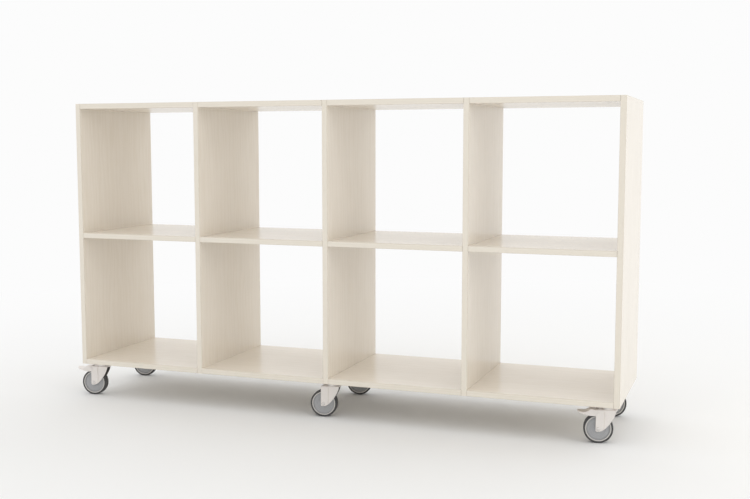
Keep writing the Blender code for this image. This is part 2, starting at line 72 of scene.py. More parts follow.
SEAM = 0.0003  # gap between pieces that turn on each other
QUARTER = math.pi / 2
SIDES = (-1, 1)
SQUARE = ((-1, -1), (1, -1), (1, 1), (-1, 1))
ORIGIN = Vector((0, 0, 0))

Thing = bpy.types.Object
Material = bpy.types.Material
Nodes = Mapping[str, bpy.types.Object]
Joints = Sequence[Mapping[str, object]]
Flat = tuple[float, float]
Spot = tuple[float, float, float]
Shares = tuple[float, ...]
Colour = tuple[float, float, float, float]


class Axis(Enum):
    """A direction of the frame that flat outlines lie square to."""

    Y = (0.0, 1.0, 0.0)
    Z = (0.0, 0.0, 1.0)

    @property
    def vector(self) -> Vector:
        """The direction as a vector of length 1."""
        return Vector(self.value)

    def at(self, across: float, up: float, along: float) -> Vector:
        """A point of a flat outline, whose plane lies some way along this axis."""
        return Vector((across, along, up)) if self is Axis.Y else Vector((across, up, along))


class Grain(Enum):
    """Which way the wood's fibres run in a board."""

    UPRIGHT = "upright"
    LEVEL = "level"


class Place(Enum):
    """Where a caster stands under the carcass."""

    FRONT_LEFT = "front_left"
    FRONT_MIDDLE = "front_middle"
    FRONT_RIGHT = "front_right"
    REAR_LEFT = "rear_left"
    REAR_MIDDLE = "rear_middle"
    REAR_RIGHT = "rear_right"

    @property
    def braked(self) -> bool:
        """Whether this caster has a brake pedal."""
        return self in (Place.FRONT_LEFT, Place.FRONT_RIGHT)


@dataclass(frozen=True)
class Tone:
    """A colour as it is seen, in steps from 0 to 255."""

    red: float
    green: float
    blue: float

    @property
    def linear(self) -> Colour:
        """The colour as a shader takes it."""
        steps = (step / 255 for step in (self.red, self.green, self.blue))
        return (*(s / 12.92 if s <= 0.04045 else ((s + 0.055) / 1.055) ** 2.4 for s in steps), 1.0)


@dataclass(frozen=True)
class Coat:
    """A tone, and how much of what lies below it hides."""

    share: float
    tone: Tone


def arc(centre: Flat, radius: float, start: float, end: float, steps: int) -> list[Flat]:
    """The points of an arc from one angle to another, both ends included."""
    turns = [start + (end - start) * k / steps for k in range(steps + 1)]
    return [(centre[0] + radius * math.cos(t), centre[1] + radius * math.sin(t)) for t in turns]


def mirrored(half: Sequence[Flat]) -> list[Flat]:
    """A turned profile's points, followed by their mirror images across its middle."""
    return [*half, *((radius, -along) for radius, along in reversed(half))]


def swept(start: Vector, first: Vector, second: Vector, end: Vector, steps: int) -> list[Flat]:
    """Give the points of a curve that two handles draw.

    Args:
        start: The curve's first point.
        first: The handle that it leaves towards.
        second: The handle that it arrives from.
        end: The curve's last point.
        steps: Number of straight steps.

    Returns:
        The points, both ends included.
    """
    points = []
    for step in range(steps + 1):
        done = step / steps
        left = 1 - done
        spot = left ** 3 * start + 3 * left * done * (left * first + done * second) + done ** 3 * end
        points.append((spot.x, spot.y))
    return points


def filleted(corners: Sequence[Spot], steps: int) -> list[Flat]:
    """Round the corners of an outline.

    Args:
        corners: The corners as (across, up, radius), where a radius of 0 leaves one sharp.
        steps: Number of straight steps in each rounding.

    Returns:
        The outline's points.
    """
    outline: list[Flat] = []
    for k, (across, up, radius) in enumerate(corners):
        if not radius:
            outline.append((across, up))
            continue
        here = Vector((across, up))
        neighbours = (corners[k - 1], corners[(k + 1) % len(corners)])
        back, ahead = ((Vector(corner[:2]) - here).normalized() for corner in neighbours)
        half_angle = back.angle(ahead) / 2
        centre = here + (back + ahead).normalized() * radius / math.sin(half_angle)
        first, last = (
            (here + way * radius / math.tan(half_angle) - centre).normalized() for way in (back, ahead)
        )
        for step in range(steps + 1):
            spot = centre + first.slerp(last, step / steps) * radius
            outline.append((spot.x, spot.y))
    return outline


class Workbench:
    """Blender's modelling operators, as they are used by hand."""

    def pick(self, *things: Thing) -> None:
        """Select these objects alone and make the first the active one.

        Args:
            things: The objects.
        """
        bpy.ops.object.select_all(action="DESELECT")
        for thing in things:
            thing.select_set(True)
        bpy.context.view_layer.objects.active = things[0]

    @contextmanager
    def editing(self, thing: Thing) -> Iterator[None]:
        """Keep this object in edit mode, with all of it selected, while the block runs.

        Args:
            thing: The object.
        """
        self.pick(thing)
        bpy.ops.object.mode_set(mode="EDIT")
        bpy.context.tool_settings.mesh_select_mode = (True, False, False)
        bpy.ops.mesh.select_all(action="SELECT")
        try:
            yield
        finally:
            bpy.ops.object.mode_set(mode="OBJECT")

    def choose(self, thing: Thing, test: Callable[[bmesh.types.BMVert], bool]) -> None:
        """In edit mode, select the vertices that pass a test, with the edges and faces they bound.

        Args:
            thing: The object in edit mode.
            test: Tells whether a vertex is wanted.
        """
        bpy.ops.mesh.select_all(action="DESELECT")
        mesh = bmesh.from_edit_mesh(thing.data)
        for vertex in mesh.verts:
            vertex.select_set(test(vertex))
        mesh.select_flush(True)
        bmesh.update_edit_mesh(thing.data)

    def keep_edges(self, thing: Thing, test: Callable[[bmesh.types.BMEdge], bool]) -> None:
        """In edit mode, keep only those selected edges inside the skin that pass a test.

        Args:
            thing: The object in edit mode.
            test: Tells whether an edge is wanted.
        """
        mesh = bmesh.from_edit_mesh(thing.data)
        kept = [edge for edge in mesh.edges if edge.select and len(edge.link_faces) == 2 and test(edge)]
        for edge in mesh.edges:
            edge.select_set(False)
        bpy.context.tool_settings.mesh_select_mode = (False, True, False)
        for edge in kept:
            edge.select_set(True)
        bmesh.update_edit_mesh(thing.data)

    def plane(self, size: float, place: Sequence[float]) -> Thing:
        """Add a level square.

        Args:
            size: The length of its sides.
            place: Its middle.

        Returns:
            The square.
        """
        bpy.ops.object.select_all(action="DESELECT")
        bpy.ops.mesh.primitive_plane_add(size=size, location=place)
        return bpy.context.object

    def draw(self, path: Sequence[Vector]) -> Thing:
        """Draw a chain of edges by extruding one vertex from point to point.

        Args:
            path: Its points in the frame.

        Returns:
            The object, which holds the chain alone.
        """
        thing = self.plane(MERGE, path[0])
        with self.editing(thing):
            bpy.ops.mesh.merge(type="CENTER")
            for here, there in zip(path, path[1:]):
                bpy.ops.mesh.extrude_vertices_move(TRANSFORM_OT_translate={"value": there - here})
        bpy.ops.object.transform_apply(location=True, rotation=False, scale=False)
        return thing

    def close_chain(self, thing: Thing) -> None:
        """In edit mode, join the two loose ends of a chain with an edge.

        Args:
            thing: The object in edit mode.
        """
        self.choose(thing, lambda vertex: len(vertex.link_edges) == 1)
        bpy.ops.mesh.edge_face_add()
        bpy.ops.mesh.select_all(action="SELECT")

    def face_outwards(self) -> None:
        """In edit mode, merge doubles and turn all faces outwards."""
        bpy.ops.mesh.select_all(action="SELECT")
        bpy.ops.mesh.remove_doubles(threshold=MERGE)
        bpy.ops.mesh.normals_make_consistent(inside=False)

    def slab(self, outline: Sequence[Flat], axis: Axis, low: float, high: float) -> Thing:
        """Extrude a flat outline into a solid.

        Args:
            outline: The outline's points, each once.
            axis: The direction of the extrusion.
            low: Where it starts along the axis.
            high: Where it ends.

        Returns:
            The solid.
        """
        thing = self.draw([axis.at(across, up, low) for across, up in outline])
        with self.editing(thing):
            self.close_chain(thing)
            bpy.ops.mesh.edge_face_add()
            bpy.ops.mesh.extrude_region_move(TRANSFORM_OT_translate={"value": axis.vector * (high - low)})
            self.face_outwards()
        return thing

    def turned(
        self, profile: Sequence[Flat], axis: Axis, steps: int, centre: Vector = ORIGIN, ring: bool = False
    ) -> Thing:
        """Spin a profile once round an axis.

        Args:
            profile: Points as (radius, along).
            axis: The direction of the spin's axis.
            steps: Number of steps in the full turn.
            centre: A point on that axis, from which along is counted.
            ring: Whether the profile closes on itself, round a bore.

        Returns:
            The turned solid.
        """
        thing = self.draw([centre + axis.at(radius, 0, along) for radius, along in profile])
        with self.editing(thing):
            if ring:
                self.close_chain(thing)
            bpy.ops.mesh.spin(steps=steps, angle=math.tau, center=centre, axis=axis.vector)
            self.face_outwards()
        return thing

    def bridged(self, chains: Sequence[Sequence[Vector]]) -> Thing:
        """Lay a skin over chains of equally many points, one after another.

        Args:
            chains: The chains in order.

        Returns:
            The open skin.
        """
        skin = self.gather([self.draw(chain) for chain in chains])
        with self.editing(skin):
            bpy.ops.mesh.bridge_edge_loops()
            bpy.ops.mesh.normals_make_consistent(inside=False)
        return skin

    def modify(self, thing: Thing, kind: str, settings: Mapping[str, object]) -> None:
        """Put a modifier on an object and apply it.

        Args:
            thing: The object.
            kind: The modifier's type.
            settings: Its settings by name.
        """
        self.pick(thing)
        modifier = thing.modifiers.new(kind, kind)
        for key, value in settings.items():
            setattr(modifier, key, value)
        bpy.ops.object.modifier_apply(modifier=modifier.name)

    def thicken(self, skin: Thing, thickness: float) -> None:
        """Give an open skin the thickness of its sheet, inwards."""
        self.modify(skin, "SOLIDIFY", {"thickness": thickness, "offset": -1.0, "use_even_offset": True})

    def combine(self, thing: Thing, tool: Thing, operation: str = "DIFFERENCE") -> None:
        """Cut, join (UNION) or trim (INTERSECT) an object with a tool, which is used up."""
        self.modify(thing, "BOOLEAN", {"operation": operation, "object": tool})
        bpy.data.objects.remove(tool)

    def bore(self, thing: Thing, spot: Vector, radius: float, axis: Axis, reach: float) -> None:
        """Bore a round hole about a spot, as far each way along an axis as its reach."""
        rim = [(0.0, -reach), (radius, -reach), (radius, reach), (0.0, reach)]
        self.combine(thing, self.turned(rim, axis, steps=48, centre=spot))

    def cut_cross(self, thing: Thing, length: float, width: float, low: float, high: float) -> None:
        """Cut the cross for a driver into a head that stands on the swivel axis.

        Args:
            thing: The head.
            length: The length of the cross.
            width: The width of its arms.
            low: The height where the cut starts.
            high: The height of its floor.
        """
        for across, up in ((length, width), (width, length)):
            outline = [(a * across / 2, b * up / 2) for a, b in SQUARE]
            self.combine(thing, self.slab(outline, Axis.Z, low, high))

    def weld(self, thing: Thing, reach: float) -> None:
        """Merge the vertices that lie within reach of each other, and mend the faces round them.

        Args:
            thing: The object.
            reach: The greatest distance that is merged.
        """
        with self.editing(thing):
            bpy.ops.mesh.remove_doubles(threshold=reach)
            bpy.ops.mesh.dissolve_degenerate(threshold=reach)
            bpy.ops.mesh.fill_holes(sides=4)

    def polish(self, thing: Thing, edge: float = 0.0, angle: float = 35.0) -> None:
        """Round the sharp edges a little, and shade the curved faces smooth.

        Args:
            thing: The object.
            edge: The rounding's width, or 0 for none.
            angle: Edges sharper than this many degrees are rounded and stay sharp to the eye.
        """
        sharp = math.radians(angle)
        self.weld(thing, SHORTEST)
        if edge:
            settings = {"width": edge, "segments": 2, "limit_method": "ANGLE", "angle_limit": sharp}
            self.modify(thing, "BEVEL", settings)
            self.weld(thing, MERGE)
        self.pick(thing)
        bpy.ops.object.shade_smooth_by_angle(angle=sharp)
        self.modify(thing, "WEIGHTED_NORMAL", {"keep_sharp": True})

    def gather(self, things: Sequence[Thing]) -> Thing:
        """Join objects into one.

        Args:
            things: The objects.

        Returns:
            The joined object.
        """
        self.pick(*things)
        bpy.ops.object.join()
        return things[0]

    def copy(self, thing: Thing, name: str, shift: Vector, turn: float = 0.0) -> Thing:
        """Copy an object with its mesh, and turn and move the copy's mesh.

        Args:
            thing: The object to copy.
            name: The copy's name.
            shift: How far the copy moves.
            turn: How far it first turns about the origin's upright axis.

        Returns:
            The copy, whose object stays at the origin.
        """
        self.pick(thing)
        bpy.ops.object.duplicate()
        twin = bpy.context.object
        twin.name = twin.data.name = name
        twin.location = shift
        twin.rotation_euler = (0.0, 0.0, turn)
        bpy.ops.object.transform_apply(location=True, rotation=True, scale=False)
        return twin


class Signal:
    """A socket that Python's operators carry on through Math nodes."""

    def __init__(self, sheet: NodeSheet, socket: bpy.types.NodeSocket) -> None:
        """Wrap an output socket of a sheet."""
        self.sheet = sheet
        self.socket = socket

    def maths(self, operation: str, *operands: Operand) -> Signal:
        """The value of a new Math node on these operands, in order."""
        return self.sheet.node("ShaderNodeMath", {"operation": operation}, dict(enumerate(operands)))

    def __add__(self, other: Operand) -> Signal:
        """Add."""
        return self.maths("ADD", self, other)

    __radd__ = __add__

    def __sub__(self, other: Operand) -> Signal:
        """Subtract."""
        return self.maths("SUBTRACT", self, other)

    def __rsub__(self, other: Operand) -> Signal:
        """Subtract this from a number."""
        return self.maths("SUBTRACT", other, self)

    def __mul__(self, other: Operand) -> Signal:
        """Multiply."""
        return self.maths("MULTIPLY", self, other)

    __rmul__ = __mul__

    def __truediv__(self, other: Operand) -> Signal:
        """Divide."""
        return self.maths("DIVIDE", self, other)

    def __pow__(self, other: Operand) -> Signal:
        """Raise to a power."""
        return self.maths("POWER", self, other)

    def __abs__(self) -> Signal:
        """Drop the sign."""
        return self.maths("ABSOLUTE", self)

    def greater(self, other: Operand) -> Signal:
        """The greater of this and another."""
        return self.maths("MAXIMUM", self, other)

    def wave(self) -> Signal:
        """Swing between 0 and 1, once for each step of 1."""
        return 0.5 + 0.5 * self.maths("SINE", self * math.tau)

    def rise(self, low: float, high: float) -> Signal:
        """Climb smoothly from 0 at low to 1 at high."""
        sockets = {"Value": self, "From Min": low, "From Max": high}
        return self.sheet.node("ShaderNodeMapRange", {"interpolation_type": "SMOOTHSTEP"}, sockets)


Operand = Signal | float


def weighed(shares: Sequence[float], *signals: Signal) -> Signal:
    """The first share, plus each signal times its own share."""
    return sum((share * signal for share, signal in zip(shares[1:], signals)), shares[0])


class NodeSheet:
    """The nodes of one material or world."""

    def __init__(self, owner: Material | bpy.types.World) -> None:
        """Start from an empty node tree.

        Args:
            owner: The material or world.
        """
        owner.use_nodes = True
        self.owner = owner
        self.tree = owner.node_tree
        self.tree.nodes.clear()

    def node(
        self,
        kind: str,
        settings: Mapping[str, object] | None = None,
        sockets: Mapping[str | int, object] | None = None,
        output: str | int = 0,
    ) -> Signal:
        """Add a node.

        Args:
            kind: The node's type.
            settings: Its settings by name, or a ramp's stops as (place, tone).
            sockets: Its inputs by name or number, each a value, a tone or a signal.
            output: The output that is wanted.

        Returns:
            That output.
        """
        made = self.tree.nodes.new(kind)
        for key, value in (settings or {}).items():
            if key == "stops":
                self._set_stops(made.color_ramp, value)
            else:
                setattr(made, key, value)
        for key, value in (sockets or {}).items():
            if isinstance(value, Signal):
                self.tree.links.new(value.socket, made.inputs[key])
            else:
                made.inputs[key].default_value = value.linear if isinstance(value, Tone) else value
        return Signal(self, made.outputs[output])

    @staticmethod
    def _set_stops(ramp: bpy.types.ColorRamp, stops: Sequence[tuple[float, Tone]]) -> None:
        """Give a ramp its stops.

        Args:
            ramp: The ramp.
            stops: The stops as (place, tone).
        """
        while len(ramp.elements) < len(stops):
            ramp.elements.new(1.0)
        for element, (place, tone) in zip(ramp.elements, stops):
            element.position = place
            element.color = tone.linear

    def point(self, middle: Sequence[float] = ORIGIN, turn: float = 0.0) -> Signal:
        """Read the place on the surface, counted from a middle along the piece's own axes.

        Args:
            middle: The middle.
            turn: How far those axes are turned about the upright one.

        Returns:
            The place.
        """
        here = self.node("ShaderNodeTexCoord", output="Object")
        sockets = {"Vector": here, "Location": middle, "Rotation": (0.0, 0.0, turn)}
        return self.node("ShaderNodeMapping", {"vector_type": "TEXTURE"}, sockets)

    def split(self, vector: Signal) -> tuple[Signal, Signal, Signal]:
        """The three parts of a vector."""
        outputs = self.node("ShaderNodeSeparateXYZ", sockets={0: vector}).socket.node.outputs
        return Signal(self, outputs[0]), Signal(self, outputs[1]), Signal(self, outputs[2])

    def joined(self, x: Operand, y: Operand, z: Operand) -> Signal:
        """The vector of three parts."""
        return self.node("ShaderNodeCombineXYZ", sockets={0: x, 1: y, 2: z})

    def noise(self, vector: Signal, scale: float, detail: float = 2.0, roughness: float = 0.5) -> Signal:
        """Cloudy noise between 0 and 1, with a number of cells in a unit and of finer layers."""
        sockets = {"Vector": vector, "Scale": scale, "Detail": detail, "Roughness": roughness}
        return self.node("ShaderNodeTexNoise", {"noise_dimensions": "3D"}, sockets)

    def blend(self, share: Operand, first: Signal | Tone, second: Signal | Tone) -> Signal:
        """A colour between two others, at a share of the way."""
        return self.node("ShaderNodeMix", {"data_type": "RGBA"}, {0: share, 6: first, 7: second}, output=2)

    def coated(self, colour: Signal | Tone, mask: Signal, coat: Coat) -> Signal:
        """A colour with a coat over it where a mask is 1."""
        return self.blend(coat.share * mask, colour, coat.tone)

    def in_view(self) -> Signal:
        """1 for what is seen straight or in a mirror, and 0 for all other light."""
        path = "ShaderNodeLightPath"
        return self.node(path, output="Is Camera Ray") + self.node(path, output="Is Glossy Ray")

    def surface(
        self,
        colour: Signal,
        roughness: Signal,
        relief: Signal,
        bump: Flat,
        metallic: float = 0.0,
        specular: float = 0.5,
    ) -> Material:
        """Finish the sheet with the main shader.

        Args:
            colour: The colour.
            roughness: The roughness.
            relief: A height between 0 and 1, which tilts the surface.
            bump: The relief's depth and its strength.
            metallic: How much of a metal it is.
            specular: How brightly the face mirrors.

        Returns:
            The material.
        """
        distance, strength = bump
        heights = {"Height": relief, "Distance": distance, "Strength": strength}
        sockets = {
            "Base Color": colour,
            "Metallic": metallic,
            "Roughness": roughness,
            "Specular IOR Level": specular,
            "Normal": self.node("ShaderNodeBump", sockets=heights),
        }
        return self.close(self.node("ShaderNodeBsdfPrincipled", sockets=sockets))

    def close(self, shader: Signal, kind: str = "Material") -> Material | bpy.types.World:
        """Lead a shader to the output of the material or world.

        Args:
            shader: The shader.
            kind: Material or World.

        Returns:
            The material or world.
        """
        made = self.tree.nodes.new(f"ShaderNodeOutput{kind}")
        self.tree.links.new(shader.socket, made.inputs["Surface"])
        return self.owner


@dataclass(frozen=True)
class PaleBoard:
    """White-pigmented wood: fine straight fibres, faint growth lines and a thin band round the edges."""

    tones: tuple[tuple[float, Tone], ...] = (
        (0.28, Tone(229, 220, 205)),
        (0.52, Tone(236, 228, 216)),
        (0.76, Tone(240, 233, 222)),
    )
    pore: Coat = Coat(0.30, Tone(206, 192, 170))
    edge: Coat = Coat(0.70, Tone(243, 236, 223))
    glue: Coat = Coat(0.55, Tone(196, 182, 158))
    arris: Coat = Coat(0.60, Tone(212, 203, 187))
    fibre_size: Flat = (0.0013, 0.075)
    pore_size: Flat = (0.0004, 0.006)
    drift_size: Flat = (0.063, 0.45)
    pore_span: Flat = (0.63, 0.74)
    growth_width: float = 0.021
    growth_wander: float = 5.0
    cloud_size: float = 0.16
    figure: Shares = (0.06, 0.52, 0.22, 0.26)
    roughness: Shares = (0.155, 0.09, 0.05)
    relief: Shares = (0.0, 0.35, 0.65)
    bump: Flat = (0.00012, 0.30)
    band: float = 0.0010
    band_blur: float = 0.00002
    glue_width: float = 0.0002
    glue_span: Flat = (0.3, 1.0)
    arris_width: float = 0.0012
    arris_fade: float = 0.6

    def material(self, name: str, grain: Grain, low: Vector, high: Vector, seed: float) -> Material:
        """Make the material of one board.

        Args:
            name: The board's name.
            grain: Which way its fibres run.
            low: Its lowest corner.
            high: Its highest corner.
            seed: Shifts the figure, so that no two boards are alike.

        Returns:
            The material.
        """
        sheet = NodeSheet(bpy.data.materials.new(f"pale_board_{name}"))
        middle, half = (low + high) / 2, (high - low) / 2
        x, y, z = sheet.split(sheet.point(middle))
        upright = grain is Grain.UPRIGHT
        along, depth = (z, x) if upright else (x, z)
        half_along, half_depth = (half.z, half.x) if upright else (half.x, half.z)

        sizes = (self.fibre_size, self.pore_size, self.drift_size)
        fibre, pores, drift = (self._streaks(sheet, (y, depth, along), size, seed) for size in sizes)
        pores = pores.rise(*self.pore_span)
        growth = (y / self.growth_width + drift * self.growth_wander + seed).wave()
        cloud = sheet.noise(sheet.point(middle + Vector((seed, seed, seed))), 1 / self.cloud_size)
        figure = weighed(self.figure, fibre, growth * drift, cloud)

        edge_way = (abs(y) - (half.y - self.band)).greater(-self.band)
        if upright:
            edge_way = edge_way.greater(abs(along) - (half_along - self.band))
        band = edge_way.rise(-self.band_blur, self.band_blur)
        glue = 1 - (abs(edge_way) / self.glue_width).rise(*self.glue_span)
        arris = abs(depth) - (half_depth - self.arris_width)
        arris = band * arris.rise(0.0, self.arris_width * self.arris_fade)
        colour = sheet.node("ShaderNodeValToRGB", {"stops": self.tones}, {0: figure})
        for mask, coat in ((pores, self.pore), (band, self.edge), (glue, self.glue), (arris, self.arris)):
            colour = sheet.coated(colour, mask, coat)

        relief = weighed(self.relief, fibre, 1 - pores)
        return sheet.surface(colour, weighed(self.roughness, fibre, cloud), relief, self.bump)

    @staticmethod
    def _streaks(sheet: NodeSheet, parts: tuple[Signal, Signal, Signal], size: Flat, seed: float) -> Signal:
        """Noise drawn out along the fibres.

        Args:
            sheet: The sheet that takes the nodes.
            parts: The place across the fibres, through the board and along the fibres.
            size: Width and length of a streak.
            seed: Shifts the noise.

        Returns:
            The noise.
        """
        across, through, along = parts
        width, length = size
        place = sheet.joined(across / width + seed * 7, through / width, along / length + seed * 3)
        return sheet.noise(place, scale=1.0, detail=3.0, roughness=0.6)


@dataclass(frozen=True)
class Throat:
    """The space inside a fork, whose sides get painted shade that stands in for the shadow and the dark tyre
    mirrored there.
    """

    spot: Vector
    turn: float
    half: float
    top: float
    side_fade: float = 0.0003
    top_fade: float = 0.003

    def share(self, sheet: NodeSheet) -> Signal:
        """How much painted shade lies at each place.

        Args:
            sheet: The sheet that takes the nodes.

        Returns:
            A signal between 0 and 1.
        """
        _, across, up = sheet.split(sheet.point(self.spot, self.turn))
        inside = 1 - abs(across).rise(self.half, self.half + self.side_fade)
        return inside * (1 - up.rise(self.top - self.top_fade, self.top))


@dataclass(frozen=True)
class ZincSheet:
    """Bright zinc on pressed sheet: faint crystals, fine rolling lines and duller patches."""

    bright: Tone = Tone(244, 239, 235)
    dull: Tone = Tone(232, 227, 223)
    # Dark tone painted inside a fork's throat: painted shade for the shadow and the tyre mirrored there, not
    # dust.
    dust: Tone = Tone(84, 82, 80)
    throat_shade_cover: Shares = (0.75, 0.25)
    crystal_size: float = 0.0035
    line_width: float = 0.0004
    line_length: float = 0.020
    patch_size: float = 0.025
    shade: Shares = (0.0, 0.25, 0.30, 0.55)
    metallic: float = 0.55
    roughness: Shares = (0.40, 0.14, 0.06)
    relief: Shares = (0.0, 0.5, 0.5)
    bump: Flat = (0.00006, 0.18)

    def material(self, name: str, throat: Throat | None = None) -> Material:
        """Make the material.

        Args:
            name: What it is for.
            throat: Where a fork gets painted shade, or None on other pieces.

        Returns:
            The material.
        """
        sheet = NodeSheet(bpy.data.materials.new(f"zinc_{name}"))
        here = sheet.point()
        x, y, z = sheet.split(here)
        settings = {"feature": "F1", "voronoi_dimensions": "3D"}
        sockets = {"Vector": here, "Scale": 1 / self.crystal_size}
        crystal = sheet.node("ShaderNodeTexVoronoi", settings, sockets, output="Distance")
        rolled = sheet.joined(x / self.line_length, y / self.line_length, z / self.line_width)
        lines = sheet.noise(rolled, scale=1.0)
        patch = sheet.noise(here, 1 / self.patch_size, detail=3.0)
        colour = sheet.blend(weighed(self.shade, crystal, lines, patch), self.dull, self.bright)
        # Painted shade inside the fork's throat, patchy where the zinc's patches run.
        if throat:
            dusty = throat.share(sheet) * weighed(self.throat_shade_cover, patch)
            colour = sheet.blend(dusty, colour, self.dust)
        roughness, relief = weighed(self.roughness, patch, lines), weighed(self.relief, crystal, lines)
        return sheet.surface(colour, roughness, relief, self.bump, self.metallic)


@dataclass(frozen=True)
class BrightSteel:
    """Plain steel of turned and headed pieces: fine tool lines and a little staining."""

    bright: Tone = Tone(232, 228, 225)
    stained: Tone = Tone(208, 205, 202)
    line_width: float = 0.0003
    stain_size: float = 0.006
    stain_span: Flat = (0.35, 0.8)
    metallic: float = 0.9
    roughness: Shares = (0.20, 0.16)
    bump: Flat = (0.00003, 0.15)

    def material(self) -> Material:
        """Make the material.

        Returns:
            The material, for the cams, the plate screws and the axle bolts.
        """
        sheet = NodeSheet(bpy.data.materials.new("bright_steel"))
        here = sheet.point()
        stain = sheet.noise(here, 1 / self.stain_size, detail=3.0, roughness=0.6)
        lines = sheet.noise(here, 1 / self.line_width, detail=1.0)
        colour = sheet.blend(stain.rise(*self.stain_span), self.bright, self.stained)
        return sheet.surface(colour, weighed(self.roughness, stain), lines, self.bump, self.metallic)


@dataclass(frozen=True)
class WheelPlastic:
    """Mid grey moulded plastic: faint rings round the hub, a painted highlight on the lip and a shaded groove
    inside it.
    """

    plastic: Tone = Tone(181, 182, 184)
    flow: Coat = Coat(0.60, Tone(161, 162, 166))
    dust: Coat = Coat(0.30, Tone(192, 190, 186))
    shaded: Coat = Coat(0.85, Tone(168, 168, 170))
    # Lighter tone on the lip: a painted highlight for the light that the lip catches.
    painted_lip_highlight: Coat = Coat(1.0, Tone(216, 214, 210))
    flow_width: float = 0.0040
    flow_wander: float = 0.8
    groove_width: float = 0.0022
    blur: float = 0.0002
    speck_size: float = 0.0007
    dust_size: float = 0.012
    dust_span: Flat = (0.5, 0.85)
    roughness: Shares = (0.42, 0.16, 0.12)
    relief: Shares = (0.0, 0.7, 0.3)
    bump: Flat = (0.00008, 0.22)

    def material(self, name: str, centre: Vector, turn: float, lip_radius: float) -> Material:
        """Make the material of one wheel.

        Args:
            name: The wheel's place.
            centre: The middle of its axle.
            turn: How far the caster is turned.
            lip_radius: Where the lip inside the tyre begins.

        Returns:
            The material.
        """
        sheet = NodeSheet(bpy.data.materials.new(f"wheel_plastic_{name}"))
        here = sheet.point(centre, turn)
        x, _, z = sheet.split(here)
        radius = (x * x + z * z) ** 0.5
        wander = sheet.noise(here, 1 / self.dust_size)
        flow = (radius / self.flow_width + self.flow_wander * wander).wave()
        speck = sheet.noise(here, 1 / self.speck_size)
        dust = wander.rise(*self.dust_span)
        lip = radius.rise(lip_radius - self.blur, lip_radius + self.blur)
        groove_radius = lip_radius - self.groove_width
        groove = (1 - lip) * radius.rise(groove_radius - 2 * self.blur, groove_radius)
        colour = self.plastic
        # The groove inside the lip gets painted shade, and the lip a painted highlight.
        for mask, coat in ((flow, self.flow), (dust, self.dust), (groove, self.shaded), (lip, self.painted_lip_highlight)):
            colour = sheet.coated(colour, mask, coat)
        relief = weighed(self.relief, speck, flow)
        return sheet.surface(colour, weighed(self.roughness, speck, dust), relief, self.bump)


@dataclass(frozen=True)
class TyreRubber:
    """Dark grey rubber: a matt side, and a tread that has picked up a little dust."""

    rubber: Tone = Tone(70, 70, 72)
    bloom: Tone = Tone(86, 85, 86)
    dust: Coat = Coat(0.40, Tone(112, 109, 105))
    grain_size: float = 0.0006
    patch_size: float = 0.010
    tread_fade: float = 0.0012
    worn_span: Flat = (0.40, 0.75)
    specular: float = 0.35
    roughness: Shares = (0.60, 0.14, 0.08)
    bump: Flat = (0.00010, 0.30)

    def material(self, name: str, centre: Vector, turn: float, tread_radius: float) -> Material:
        """Make the material of one tyre.

        Args:
            name: The tyre's place.
            centre: The middle of its axle.
            turn: How far the caster is turned.
            tread_radius: Where its tread begins.

        Returns:
            The material.
        """
        sheet = NodeSheet(bpy.data.materials.new(f"tyre_rubber_{name}"))
        here = sheet.point(centre, turn)
        x, _, z = sheet.split(here)
        tread = ((x * x + z * z) ** 0.5).rise(tread_radius - self.tread_fade, tread_radius)
        patch = sheet.noise(here, 1 / self.patch_size, detail=4.0, roughness=0.6)
        grain = sheet.noise(here, 1 / self.grain_size)
        worn = tread * patch.rise(*self.worn_span)
        colour = sheet.coated(sheet.blend(patch, self.rubber, self.bloom), worn, self.dust)
        roughness = weighed(self.roughness, grain, worn)
        return sheet.surface(colour, roughness, grain, self.bump, specular=self.specular)


@dataclass
class Piece:
    """A finished piece and what it belongs to."""

    thing: Thing
    body: str
    slot: str
    material: Material
    replaces: tuple[str, ...] = ()

    def install(self) -> None:
        """Dress the piece and hand it over to the frame."""
        self.thing.data.materials.clear()
        self.thing.data.materials.append(self.material)
        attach(self.thing, self.body)
        if self.replaces:
            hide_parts(*self.replaces)
        LOG.info("%s: %d faces on %s", self.thing.name, len(self.thing.data.polygons), self.body)


@dataclass(frozen=True)
class Station:
    """Where a caster stands, and how far it is turned about its swivel axis."""

    spot: Vector
    turn: float

    @classmethod
    def of(cls, place: Place, joints: Joints) -> Station:
        """Read a caster's station from the joints of its swivel and its wheel.

        Args:
            place: Which caster.
            joints: The joints of the whole shelf.

        Returns:
            The station, with its spot on the floor.
        """
        named = {joint["name"]: joint for joint in joints}
        spot = Vector(named[f"swivel_{place.value}"]["pos_m"])
        spin = Vector(named[f"wheel_spin_{place.value}"]["axis"])
        return cls(Vector((spot.x, spot.y, 0)), math.atan2(-spin.x, spin.y))

    def box(self, node: Thing) -> tuple[Vector, Vector]:
        """The corners of a node's box, along the turned caster's own axes and from its swivel axis.

        Args:
            node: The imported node.

        Returns:
            The lowest and the highest corner.
        """
        back = Matrix.Rotation(-self.turn, 3, "Z")
        points = [back @ (vertex.co - self.spot) for vertex in node.data.vertices]
        low, high = ([pick(point[k] for point in points) for k in range(3)] for pick in (min, max))
        return Vector(low), Vector(high)


